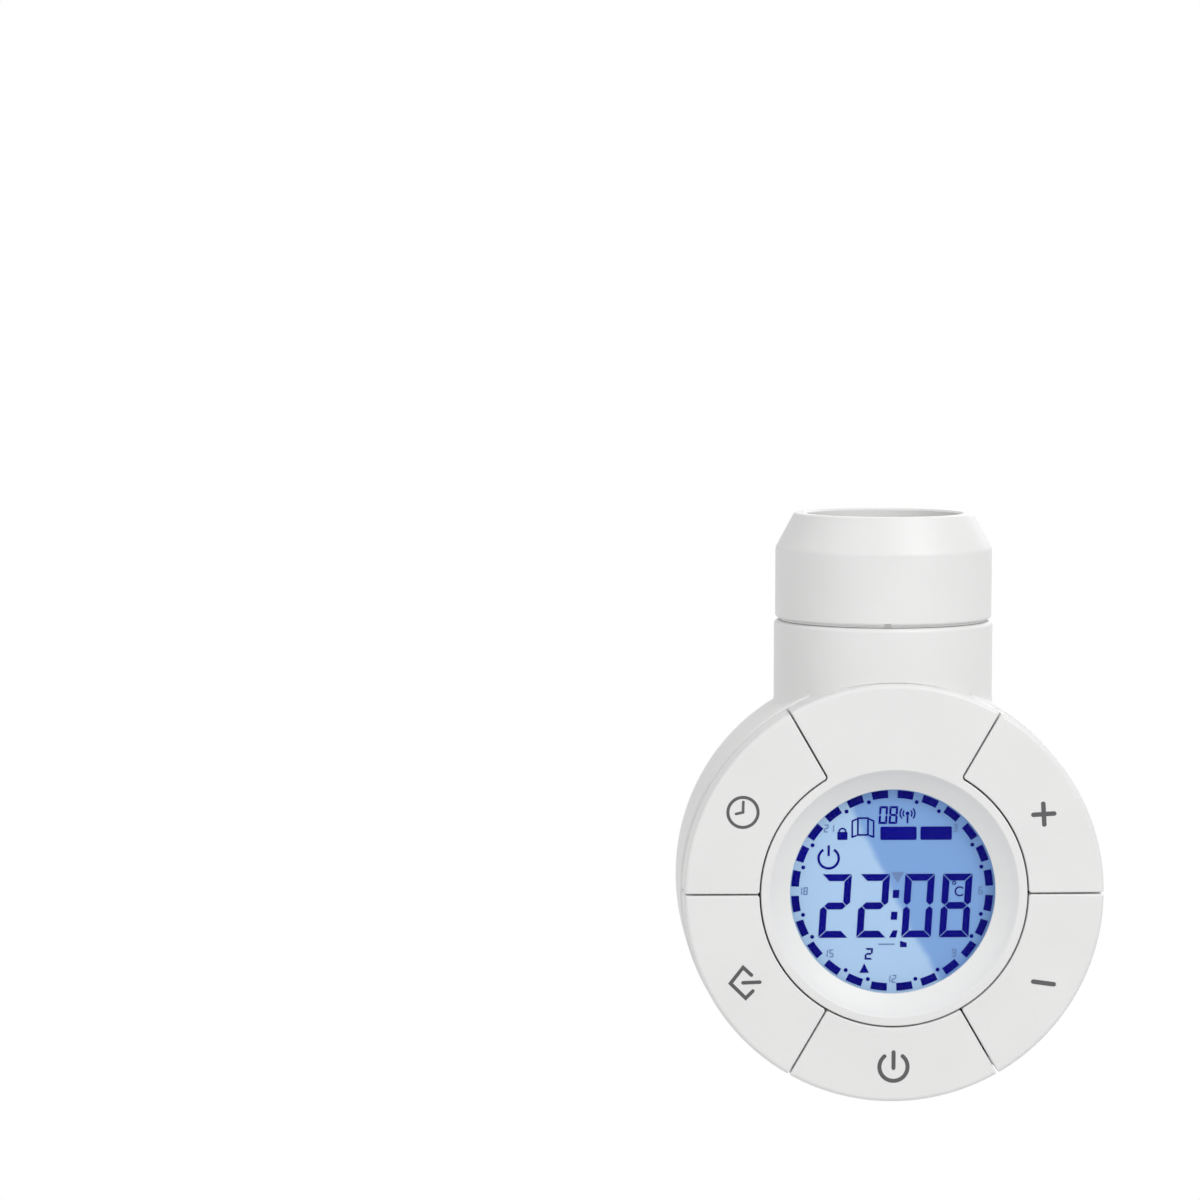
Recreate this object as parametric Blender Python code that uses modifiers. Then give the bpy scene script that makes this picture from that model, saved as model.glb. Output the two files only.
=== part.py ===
"""Plug-on programmable timer for a towel-radiator heating element.

Metres, +Z up along the neck, origin at the centre of the collar's top ring,
the face towards -Y.
"""
import math

import bmesh
import bpy

MM = 0.001

# Fits
FIT = 0.3 * MM
SEAM = 0.5 * MM
KEY_GAP = 0.45 * MM
KEY_TRAVEL = 0.8 * MM

# Collar and neck
COLLAR_TOP_RADIUS = 15.4 * MM
COLLAR_RADIUS = 18.5 * MM
COLLAR_HEIGHT = 17.9 * MM
CONE_HEIGHT = 6.0 * MM
COLLAR_WALL = 1.9 * MM
HEX_FLATS = 22.0 * MM
NECK_RADIUS = 18.7 * MM
NECK_WALL = 2.0 * MM
NECK_FLARE = 1.2 * MM
NECK_LENGTH = 8.8 * MM

# Head
HEAD_RADIUS = 35.5 * MM
HEAD_DEPTH = 42.0 * MM
FACE_REACH = 20.5 * MM
HEAD_WALL = 2.2 * MM
REAR_START = 20.0 * MM
REAR_INSET = 7.0 * MM

# Face
FACE_SETBACK = 0.5 * MM
KEY_REACH = 12.7 * MM
FLAT_RIM = 1.4 * MM
DISH_WIDTH = 3.6 * MM
DISH_DEPTH = 2.6 * MM
KEY_HEIGHT = 6.5 * MM
KEY_PLATE = 1.8 * MM
KEY_WALL = 1.4 * MM
KEY_SIDE = 3.8 * MM
KEY_ROUND = 0.5 * MM
FLANGE_THICK = 2.0 * MM
LENS_THICK = 1.2 * MM
GLASS_THICK = 2.2 * MM
GUIDE_THICK = 2.0 * MM
GLASS_EDGE = 1.7 * MM
SWITCH_PLACE = 4.7 * MM
SWITCH_SIDE = 6.0 * MM
SWITCH_HEIGHT = 3.2 * MM
BOARD_THICK = 1.6 * MM
BOARD_SPACE = 8.0 * MM
LEAD_RADIUS = 2.4 * MM
BUSH_RADIUS = 4.7 * MM
BUSH_BORE = 3.6 * MM
BUSH_EDGE = 10.7 * MM

# Sizes that follow from those above
HEAD_DROP = COLLAR_HEIGHT + SEAM + NECK_LENGTH + HEAD_RADIUS
FACE_RADIUS = HEAD_RADIUS - FACE_SETBACK
RING_RADIUS = FACE_RADIUS - KEY_REACH
DISH_RADIUS = RING_RADIUS - FLAT_RIM
WINDOW_RADIUS = DISH_RADIUS - DISH_WIDTH
GLASS_RADIUS = WINDOW_RADIUS + GLASS_EDGE
SWITCH_RADIUS = RING_RADIUS + SWITCH_PLACE
HEX_CORNER = HEX_FLATS / math.sqrt(3)
BARREL_RADIUS = HEX_CORNER + COLLAR_WALL
COLLAR_BORE = COLLAR_RADIUS - COLLAR_WALL
MOUTH_RADIUS = HEX_CORNER + 0.7 * MM
SLEEVE_TOP = -CONE_HEIGHT + 1.0 * MM
FLANGE_TOP = -COLLAR_HEIGHT + 2.9 * MM
NECK_TOP = -COLLAR_HEIGHT - SEAM
NECK_PLATE = 2.0 * MM
NECK_BORE = 13.0 * MM
NECK_INNER = NECK_RADIUS - NECK_WALL
PLATE_UNDER = NECK_TOP - NECK_PLATE
JOURNAL_RADIUS = NECK_BORE - FIT
JOURNAL_BORE = JOURNAL_RADIUS - 2.5 * MM
JOURNAL_END = PLATE_UNDER - 2.8 * MM
NUT_TOP = PLATE_UNDER - FIT
NUT_LIP = JOURNAL_END - 1.7 * MM
NUT_END = NUT_LIP - 1.1 * MM
NUT_RADIUS = NECK_BORE + 2.0 * MM
STOP_WIDTH = 2.6 * MM
SCREW_LEVEL = (SLEEVE_TOP + FLANGE_TOP) / 2
RIM = KEY_HEIGHT + KEY_TRAVEL + FIT
SHROUD_FRONT = KEY_SIDE + KEY_TRAVEL + FIT
CAVITY_RADIUS = HEAD_RADIUS - HEAD_WALL
FLANGE_RADIUS = CAVITY_RADIUS - FIT
FLANGE_BACK = RIM + FLANGE_THICK
LEDGE_RADIUS = CAVITY_RADIUS - 1.7 * MM
LEDGE_FRONT = FLANGE_BACK + FIT
LEDGE_BACK = LEDGE_FRONT + 1.6 * MM
LENS_FRONT = DISH_DEPTH + 0.6 * MM + FIT
GLASS_FRONT = LENS_FRONT + LENS_THICK + FIT
GUIDE_FRONT = GLASS_FRONT + GLASS_THICK + FIT
GUIDE_BACK = GUIDE_FRONT + GUIDE_THICK
SWITCH_FRONT = FLANGE_BACK + FIT
BOARD_FRONT = SWITCH_FRONT + SWITCH_HEIGHT + FIT
BOARD_BACK = BOARD_FRONT + BOARD_THICK
BOARD_RADIUS = LEDGE_RADIUS - 0.6 * MM
POWER_RADIUS = BOARD_RADIUS - 0.5 * MM
PLUNGER_FRONT = SWITCH_FRONT - KEY_TRAVEL
POWER_FRONT = BOARD_BACK + BOARD_SPACE
POWER_BACK = POWER_FRONT + BOARD_THICK
POST_FRONT = POWER_BACK + FIT
COVER_THICK = 2.2 * MM
SHELF_BACK = HEAD_DEPTH - COVER_THICK - FIT
SHELF_FRONT = SHELF_BACK - 2.0 * MM
COVER_RADIUS = HEAD_RADIUS - REAR_INSET - 2.8 * MM
SHELF_RADIUS = COVER_RADIUS - 3.6 * MM
POST_RADIUS = COVER_RADIUS - 4.4 * MM
BUSH_DROP = COVER_RADIUS - BUSH_EDGE
POCKET_RADIUS = GLASS_RADIUS + FIT
HOLDER_BORE = GLASS_RADIUS - 1.6 * MM
SCREW_ANGLES = (45, 135, 225, 315)
BOSS_ANGLES = (30, 150, 210, 330)
BOSS_RADIUS = SWITCH_RADIUS + 1.8 * MM
HOOK_ANGLES = (65, 200, 295)
LONG_CHAINS = ("housing", "front_bezel", "contact_block")
KEYS = {"plus": 60, "minus": 120, "power": 180, "enter": 240, "timer": 300}

# What the boards carry: centre and size as shares of the board's radius
CHIP_THICK = 1.5 * MM
PROCESSOR = ((-0.29, 0.0), (0.32, 0.32))
BOARD_PLUG = ((0.0, -0.39), (0.58, 0.16))
PLUG_TOP = 0.85
ELEMENT_PLUG = ((0.0, PLUG_TOP - 0.13), (0.46, 0.26))
POWER_BLOCKS = {
    "relay": (((0.0, 0.62), (0.66, 0.36)), (0.05, 0.10, 0.25)),
    "transformer": (((-0.26, 0.10), (0.49, 0.42)), (0.55, 0.45, 0.10)),
    "terminal_block": (((0.0, -0.82), (0.52, 0.23)), (0.04, 0.20, 0.08)),
    "mains_capacitor": (((0.33, 0.10), (0.20, 0.40)), (0.65, 0.50, 0.05)),
}
POWER_CANS = {
    "smoothing_capacitor": (((-0.69, 0.0), (0.26, 0.26)), 1.0, (0.08, 0.09, 0.14)),
    "fuse": (((0.67, 0.0), (0.26, 0.26)), 0.75, (0.30, 0.18, 0.10)),
}

for old in list(bpy.data.objects):
    bpy.data.objects.remove(old)

parts = bpy.data.collections.new("programmable_timer")
tools = bpy.data.collections.new("cutters")
bpy.context.scene.collection.children.link(parts)
bpy.context.scene.collection.children.link(tools)


def frame_at(name, location, rotation, parent=None):
    """An empty that carries the pieces of one moving group."""
    empty = bpy.data.objects.new(name, None)
    empty.empty_display_size = 0.01
    empty.location = location
    empty.rotation_euler = rotation
    empty.parent = parent
    parts.objects.link(empty)
    return empty


swivel = frame_at("swivel_frame", (0, 0, 0), (0, 0, 0))
head = frame_at("head_frame", (0, -FACE_REACH, -HEAD_DROP), (math.pi / 2, 0, 0), swivel)


def add(name, mesh, parent, group):
    thing = bpy.data.objects.new(name, mesh)
    thing.parent = parent
    group.objects.link(thing)
    if group is tools:
        thing.hide_render = True
        thing.display_type = "WIRE"
    return thing


def finish_mesh(name, shape):
    bmesh.ops.recalc_face_normals(shape, faces=shape.faces)
    mesh = bpy.data.meshes.new(name)
    shape.to_mesh(mesh)
    shape.free()
    return mesh


def turned(name, profile, parent=None, group=parts, sides=36):
    """A closed outline of (radius, height) points turned about the frame's Z axis."""
    shape = bmesh.new()
    rings = []
    for radius, height in profile:
        if radius < 1e-7:
            rings.append([shape.verts.new((0, 0, height))] * sides)
            continue
        angles = [2 * math.pi * step / sides for step in range(sides)]
        ring = [(radius * math.sin(a), radius * math.cos(a), height) for a in angles]
        rings.append([shape.verts.new(point) for point in ring])
    for index, ring in enumerate(rings):
        after = rings[(index + 1) % len(rings)]
        for step in range(sides):
            turn = (step + 1) % sides
            corners = [ring[step], ring[turn], after[turn], after[step]]
            corners = list(dict.fromkeys(corners))
            if len(corners) > 2:
                shape.faces.new(corners)
    return add(name, finish_mesh(name, shape), parent, group)


def behind(profile):
    """Turns (radius, depth behind the face) into (radius, height) in the head's frame."""
    return [(radius, -depth) for radius, depth in profile]


def prism(name, outline, front, back, parent, group=parts, round_off=0.0):
    """An outline pushed from one depth to another, its front edge and corners rounded if asked."""
    shape = bmesh.new()
    near = [shape.verts.new((x, y, -front)) for x, y in outline]
    far = [shape.verts.new((x, y, -back)) for x, y in outline]
    shape.faces.new(near)
    shape.faces.new(far)
    count = len(outline)
    for step in range(count):
        turn = (step + 1) % count
        shape.faces.new((near[step], near[turn], far[turn], far[step]))
    if round_off:
        shape.normal_update()
        weight = shape.edges.layers.float.new("bevel_weight_edge")
        for edge in shape.edges:
            ends = [vertex.co.z for vertex in edge.verts]
            upright = abs(ends[0] - ends[1]) > 1e-6
            sharp = upright and edge.calc_face_angle(0) > math.radians(40)
            at_front = max(abs(end + front) for end in ends) < 1e-7
            edge[weight] = 1.0 if sharp or at_front else 0.0
    thing = add(name, finish_mesh(name, shape), parent, group)
    if round_off:
        bevel = thing.modifiers.new("edge", "BEVEL")
        bevel.limit_method = "WEIGHT"
        bevel.width = round_off
        bevel.segments = 2
    return thing


def rod(name, at, radius, front, back, parent, group=parts, sides=12):
    """A round bar along the head's axis between two depths."""
    angles = [2 * math.pi * step / sides for step in range(sides)]
    outline = [(at[0] + radius * math.cos(a), at[1] + radius * math.sin(a)) for a in angles]
    return prism(name, outline, front, back, parent, group)


def block(name, at, size, front, back, parent, group=parts, angle=0.0):
    """A rectangular block between two depths, turned clockwise from the top by an angle."""
    half_x = size[0] / 2
    half_y = size[1] / 2
    corners = [(-half_x, -half_y), (half_x, -half_y), (half_x, half_y), (-half_x, half_y)]
    c = math.cos(angle)
    s = math.sin(angle)
    outline = [(at[0] + x * c + y * s, at[1] - x * s + y * c) for x, y in corners]
    return prism(name, outline, front, back, parent, group)


def boolean(target, pieces, operation):
    for piece in pieces:
        step = target.modifiers.new(piece.name, "BOOLEAN")
        step.operation = operation
        step.solver = "MANIFOLD" if target.name in LONG_CHAINS else "EXACT"
        step.object = piece
    return target


def cut(target, *pieces):
    return boolean(target, pieces, "DIFFERENCE")


def join(target, *pieces):
    return boolean(target, pieces, "UNION")


def paint(thing, colour, rough=0.45, metal=0.0):
    material = bpy.data.materials.new(thing.name)
    material.use_nodes = True
    shader = material.node_tree.nodes["Principled BSDF"]
    shader.inputs["Base Color"].default_value = (*colour, 1.0)
    shader.inputs["Roughness"].default_value = rough
    shader.inputs["Metallic"].default_value = metal
    thing.data.materials.append(material)
    return thing


def clock(radius, degrees):
    """The point at a radius and an angle clockwise from the top of the face."""
    angle = math.radians(degrees)
    return radius * math.sin(angle), radius * math.cos(angle)


def sector(inner, outer, inset, half_degrees=30.0, steps=9):
    """A face sector pointing up, its straight sides half a key gap plus the inset from the dividers."""
    side = KEY_GAP / 2 + inset
    half = math.radians(half_degrees)
    outline = []
    for radius, direction in ((outer - inset, 1), (inner + inset, -1)):
        reach = half - math.asin(side / radius)
        for step in range(steps + 1):
            angle = direction * reach * (2 * step / steps - 1)
            outline.append((radius * math.sin(angle), radius * math.cos(angle)))
    return outline


def layout(radius, place):
    """A piece's centre and size on a board, from its shares of the board's radius."""
    at, size = place
    return [share * radius for share in at], [share * radius for share in size]


WHITE = (0.80, 0.80, 0.79)
BLACK = (0.03, 0.03, 0.035)
STEEL = (0.62, 0.62, 0.64)
BRASS = (0.70, 0.52, 0.24)
GREEN = (0.03, 0.16, 0.08)


# Collar that meets the radiator
def build_collar():
    lean = (COLLAR_RADIUS - COLLAR_TOP_RADIUS) / CONE_HEIGHT
    slope = COLLAR_WALL * math.sqrt(1 + lean * lean)
    lip = 2.2 * MM
    rib_top = FLANGE_TOP + FIT + 1.5 * MM
    edge = 0.4 * MM
    outer = [
        (COLLAR_TOP_RADIUS - edge, 0),
        (COLLAR_TOP_RADIUS, -edge),
        (COLLAR_RADIUS, -CONE_HEIGHT),
        (COLLAR_RADIUS, -COLLAR_HEIGHT + 0.5 * MM),
        (COLLAR_RADIUS - 0.5 * MM, -COLLAR_HEIGHT),
    ]
    inner = [
        (COLLAR_BORE, -COLLAR_HEIGHT),
        (COLLAR_BORE, FLANGE_TOP + FIT),
        (BARREL_RADIUS + FIT, FLANGE_TOP + FIT),
        (BARREL_RADIUS + FIT, rib_top),
        (COLLAR_BORE, rib_top),
        (COLLAR_BORE, -CONE_HEIGHT - 0.5 * MM),
        (COLLAR_TOP_RADIUS + lean * lip - slope, -lip),
        (MOUTH_RADIUS, -lip),
        (MOUTH_RADIUS, 0),
    ]
    collar = turned("collar", outer + inner)
    notch = block(
        "collar_notch", (0, 0), (1.2 * MM, 1.0 * MM),
        COLLAR_HEIGHT - 0.7 * MM, COLLAR_HEIGHT + 1 * MM, None, tools,
    )
    notch.location = (0, -COLLAR_RADIUS, 0)
    hole = rod("collar_hole", (0, 0), 2.2 * MM, 0, 10 * MM, None, tools)
    hole.location = (0, COLLAR_BORE - 3 * MM, SCREW_LEVEL)
    hole.rotation_euler = (math.pi / 2, 0, 0)
    cut(collar, notch, hole)
    return paint(collar, WHITE)


# Sleeve that takes the hexagon of the heating element
def build_sleeve():
    plate = NECK_TOP + FIT
    groove = 0.8 * MM
    middle = NECK_TOP - NECK_PLATE / 2
    profile = [
        (BARREL_RADIUS - 0.4 * MM, SLEEVE_TOP),
        (BARREL_RADIUS, SLEEVE_TOP - 0.4 * MM),
        (BARREL_RADIUS, FLANGE_TOP),
        (COLLAR_BORE - FIT, FLANGE_TOP),
        (COLLAR_BORE - FIT, plate),
        (JOURNAL_RADIUS, plate),
        (JOURNAL_RADIUS, middle + groove),
        (JOURNAL_RADIUS - 1.3 * MM, middle + groove),
        (JOURNAL_RADIUS - 1.3 * MM, middle - groove),
        (JOURNAL_RADIUS, middle - groove),
        (JOURNAL_RADIUS, JOURNAL_END),
        (JOURNAL_BORE, JOURNAL_END),
        (JOURNAL_BORE, SLEEVE_TOP),
    ]
    sleeve = turned("coupling_sleeve", profile, sides=32)
    points = [2 * math.pi * step / 6 for step in range(6)]
    outline = [(HEX_CORNER * math.cos(a), HEX_CORNER * math.sin(a)) for a in points]
    socket = prism("hex_socket", outline, 0, -FLANGE_TOP, None, tools)
    hole = rod("clamp_hole", (0, 0), 2.15 * MM, 0, 10 * MM, None, tools)
    hole.location = (0, BARREL_RADIUS - 6 * MM, SCREW_LEVEL)
    hole.rotation_euler = (math.pi / 2, 0, 0)
    cut(sleeve, socket, hole)
    return paint(sleeve, (0.75, 0.75, 0.74))


def build_clamp_screw():
    start = HEX_FLATS / 2 + 0.3 * MM
    length = COLLAR_BORE - 0.7 * MM - start
    screw = rod("clamp_screw", (0, 0), 1.85 * MM, 0, length, None)
    screw.location = (0, start, SCREW_LEVEL)
    screw.rotation_euler = (math.pi / 2, 0, 0)
    key = rod("clamp_key", (0, 0), 1.0 * MM, length - 1.6 * MM, length + 1 * MM, None, tools, 6)
    key.location = screw.location
    key.rotation_euler = screw.rotation_euler
    cut(screw, key)
    return paint(screw, STEEL, 0.35, 1.0)


def build_neck_seal():
    middle = NECK_TOP - NECK_PLATE / 2
    centre = (JOURNAL_RADIUS - 1.3 * MM + NECK_BORE) / 2
    section = 0.5 * MM
    angles = [2 * math.pi * step / 5 for step in range(5)]
    ring = [(centre + section * math.cos(a), middle + section * math.sin(a)) for a in angles]
    return paint(turned("neck_seal", ring, sides=24), BLACK, 0.7)


# Nut under the neck plate, with the lug that limits the swivel
def build_nut():
    profile = [
        (NUT_RADIUS, NUT_TOP),
        (NUT_RADIUS, NUT_END),
        (JOURNAL_BORE, NUT_END),
        (JOURNAL_BORE, NUT_LIP),
        (NECK_BORE, NUT_LIP),
        (NECK_BORE, NUT_TOP),
    ]
    nut = turned("retaining_nut", profile, sides=32)
    reach = NECK_INNER - 0.4 * MM
    start = NUT_RADIUS - 0.8 * MM
    lug = block(
        "stop_lug", (0, -(reach + start) / 2), (STOP_WIDTH, reach - start),
        -NUT_TOP + 1.6 * MM, -NUT_END - 0.1 * MM, None, tools,
    )
    join(nut, lug)
    return paint(nut, (0.10, 0.10, 0.11), 0.5)


# Contacts that reach the element's terminals
def build_contacts():
    body = JOURNAL_BORE - FIT
    top = FLANGE_TOP - FIT
    brim = JOURNAL_END - FIT
    under = NUT_LIP + FIT
    profile = [
        (0, top),
        (body, top),
        (body, brim),
        (NECK_BORE - 0.6 * MM, brim),
        (NECK_BORE - 0.6 * MM, under),
        (body - 0.2 * MM, under),
        (body - 0.2 * MM, NUT_END),
        (0, NUT_END),
    ]
    holder = turned("contact_block", profile, sides=24)
    spread = 5.0 * MM
    places = {"live": (-spread, 0), "neutral": (spread, 0), "earth": (0, -spread)}
    for name, at in places.items():
        hole = rod(name + "_way", at, 1.5 * MM, -top - 1 * MM, -NUT_END + 1 * MM, None, tools, 10)
        cut(holder, hole)
        pin = rod("contact_pin_" + name, at, 1.2 * MM, -top - 6.5 * MM, -NUT_END, None, parts, 12)
        paint(pin, BRASS, 0.3, 1.0)
    return paint(holder, (0.12, 0.12, 0.12), 0.5)


def rounded_back(inset, end, steps):
    """The head's rounded back as (radius, depth) points, from where it starts to a depth."""
    length = HEAD_DEPTH - REAR_START
    last = math.asin((end - REAR_START) / length)
    points = []
    for step in range(steps + 1):
        turn = last * step / steps
        radius = HEAD_RADIUS - REAR_INSET * (1 - math.cos(turn)) - inset
        points.append((radius, REAR_START + length * math.sin(turn)))
    return points


# Housing: the round back of the head and the neck in one moulding
def build_housing():
    outer = [(0, RIM), (HEAD_RADIUS, RIM)]
    outer += rounded_back(0, HEAD_DEPTH, 5)
    outer.append((0, HEAD_DEPTH))
    housing = turned("housing", behind(outer), head, sides=48)

    bottom = -HEAD_DROP + CAVITY_RADIUS - 12 * MM
    side_level = -HEAD_DROP + math.sqrt(HEAD_RADIUS ** 2 - NECK_RADIUS ** 2)
    start = side_level + 2 * NECK_FLARE
    neck = [(0, NECK_TOP), (NECK_RADIUS - 0.4 * MM, NECK_TOP)]
    neck.append((NECK_RADIUS, NECK_TOP - 0.4 * MM))
    for step in range(4):
        turn = math.pi / 2 * step / 3
        level = start - 2 * NECK_FLARE * math.sin(turn)
        neck.append((NECK_RADIUS + NECK_FLARE * (1 - math.cos(turn)), level))
    neck.append((NECK_RADIUS + NECK_FLARE, bottom))
    neck.append((0, bottom))
    join(housing, turned("neck_solid", neck, swivel, tools))

    face_room = [(0, -5 * MM), (FACE_RADIUS + FIT, -5 * MM), (FACE_RADIUS + FIT, RIM), (0, RIM)]
    room = [
        (0, RIM - 3 * MM),
        (CAVITY_RADIUS, RIM - 3 * MM),
        (CAVITY_RADIUS, LEDGE_FRONT),
        (LEDGE_RADIUS, LEDGE_FRONT),
        (LEDGE_RADIUS, LEDGE_BACK),
        (CAVITY_RADIUS, LEDGE_BACK),
    ]
    room += rounded_back(HEAD_WALL, SHELF_FRONT, 3)
    room.append((0, SHELF_FRONT))
    bore = [(0, NECK_TOP + 2 * MM), (NECK_BORE, NECK_TOP + 2 * MM)]
    bore += [(NECK_BORE, PLATE_UNDER - 2 * MM), (0, PLATE_UNDER - 2 * MM)]
    opening = -HEAD_DROP + CAVITY_RADIUS - 2.5 * MM
    inside = [(0, PLATE_UNDER), (NECK_INNER, PLATE_UNDER), (NECK_INNER, opening), (0, opening)]
    rear = [
        (0, SHELF_FRONT - 3 * MM),
        (SHELF_RADIUS, SHELF_FRONT - 3 * MM),
        (SHELF_RADIUS, SHELF_BACK),
        (COVER_RADIUS + FIT, SHELF_BACK),
        (COVER_RADIUS + FIT, HEAD_DEPTH + 3 * MM),
        (0, HEAD_DEPTH + 3 * MM),
    ]
    groove = [
        (COVER_RADIUS - 2.0 * MM, SHELF_BACK - 1.1 * MM),
        (COVER_RADIUS, SHELF_BACK - 1.1 * MM),
        (COVER_RADIUS, SHELF_BACK + 1 * MM),
        (COVER_RADIUS - 2.0 * MM, SHELF_BACK + 1 * MM),
    ]
    cut(
        housing,
        turned("face_room", behind(face_room), head, tools, 48),
        turned("head_room", behind(room), head, tools, 40),
        turned("neck_room", inside, swivel, tools),
        turned("neck_bore", bore, swivel, tools, 40),
        turned("rear_room", behind(rear), head, tools),
    )
    rib = block(
        "stop_rib", (0, (NECK_INNER + NUT_RADIUS + 0.4 * MM + 0.6 * MM) / 2),
        (STOP_WIDTH, NECK_INNER - NUT_RADIUS + 0.2 * MM),
        -PLATE_UNDER - 0.8 * MM, -NUT_END, swivel, tools,
    )
    join(housing, rib)
    for degrees in SCREW_ANGLES:
        at = clock(POST_RADIUS, degrees)
        tag = str(degrees)
        join(housing, rod("post_" + tag, at, 3.2 * MM, POST_FRONT, SHELF_BACK - 0.9 * MM, head, tools, 10))
        near = rod(
            "post_near_" + tag, at, 1.6 * MM,
            POST_FRONT - 1 * MM, POST_FRONT + 3.8 * MM, head, tools, 8,
        )
        far = rod(
            "post_far_" + tag, at, 1.6 * MM,
            POST_FRONT + 5.2 * MM, SHELF_BACK + 1 * MM, head, tools, 8,
        )
        cut(housing, near, far)
    cut(housing, turned("seal_groove", behind(groove), head, tools, 28))
    for degrees in HOOK_ANGLES:
        tag = str(degrees)
        turn = math.radians(degrees)
        slot = block(
            "hook_slot_" + tag, clock(CAVITY_RADIUS - 0.9 * MM, degrees), (8 * MM, 2.4 * MM),
            LEDGE_FRONT - 1 * MM, LEDGE_BACK + 0.6 * MM, head, tools, turn,
        )
        pocket = block(
            "hook_pocket_" + tag, clock(CAVITY_RADIUS, degrees), (7.4 * MM, 2.0 * MM),
            LEDGE_BACK + 0.1 * MM, LEDGE_BACK + 2.5 * MM, head, tools, turn,
        )
        cut(housing, slot, pocket)
    return paint(housing, WHITE)


# Rear cover, its seal, screws and cable bush
def build_rear():
    front = SHELF_BACK + FIT
    edge = 0.4 * MM
    profile = [
        (0, front),
        (COVER_RADIUS, front),
        (COVER_RADIUS, HEAD_DEPTH - edge),
        (COVER_RADIUS - edge, HEAD_DEPTH),
        (0, HEAD_DEPTH),
    ]
    cover = turned("rear_cover", behind(profile), head)
    for index, degrees in enumerate(SCREW_ANGLES, 1):
        at = clock(POST_RADIUS, degrees)
        tag = str(index)
        seat = HEAD_DEPTH - 1.3 * MM
        hole = rod("cover_hole_" + tag, at, 1.6 * MM, front - 1 * MM, HEAD_DEPTH, head, tools, 8)
        sink = rod("cover_sink_" + tag, at, 2.9 * MM, seat, HEAD_DEPTH + 1 * MM, head, tools)
        cut(cover, hole, sink)
        screw = rod("rear_screw_" + tag, at, 2.6 * MM, seat + FIT, HEAD_DEPTH - 0.1 * MM, head)
        shank = rod(
            "rear_shank_" + tag, at, 1.3 * MM,
            POST_FRONT + 5.8 * MM, seat + 0.7 * MM, head, tools, 8,
        )
        slot = block(
            "rear_slot_" + tag, at, (4.2 * MM, 0.8 * MM),
            HEAD_DEPTH - 0.6 * MM, HEAD_DEPTH + 1 * MM, head, tools, math.radians(degrees),
        )
        join(screw, shank)
        cut(screw, slot)
        paint(screw, STEEL, 0.35, 1.0)
    way = rod(
        "bush_way", (0, -BUSH_DROP), BUSH_RADIUS + FIT,
        front - 2 * MM, HEAD_DEPTH + 2 * MM, head, tools, 32,
    )
    cut(cover, way)
    paint(cover, WHITE)

    seal = [
        (COVER_RADIUS - 1.7 * MM, SHELF_BACK - 0.8 * MM),
        (COVER_RADIUS - 0.3 * MM, SHELF_BACK - 0.8 * MM),
        (COVER_RADIUS - 0.3 * MM, SHELF_BACK),
        (COVER_RADIUS - 1.7 * MM, SHELF_BACK),
    ]
    paint(turned("rear_seal", behind(seal), head, sides=28), BLACK, 0.7)

    outside = HEAD_DEPTH + FIT
    bush = [
        (BUSH_BORE, front - 2.8 * MM),
        (BUSH_RADIUS + 0.9 * MM, front - 2.8 * MM),
        (BUSH_RADIUS + 1.3 * MM, front - 1.4 * MM),
        (BUSH_RADIUS + 1.3 * MM, front - FIT),
        (BUSH_RADIUS, front - FIT),
        (BUSH_RADIUS, outside),
        (BUSH_RADIUS + 2.1 * MM, outside),
        (BUSH_RADIUS + 2.1 * MM, outside + 1.0 * MM),
        (BUSH_RADIUS + 1.5 * MM, outside + 1.6 * MM),
        (BUSH_BORE, outside + 1.6 * MM),
    ]
    piece = turned("cable_bush", behind(bush), head, sides=24)
    for vertex in piece.data.vertices:
        vertex.co.y -= BUSH_DROP
    paint(piece, BLACK, 0.55)


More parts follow.
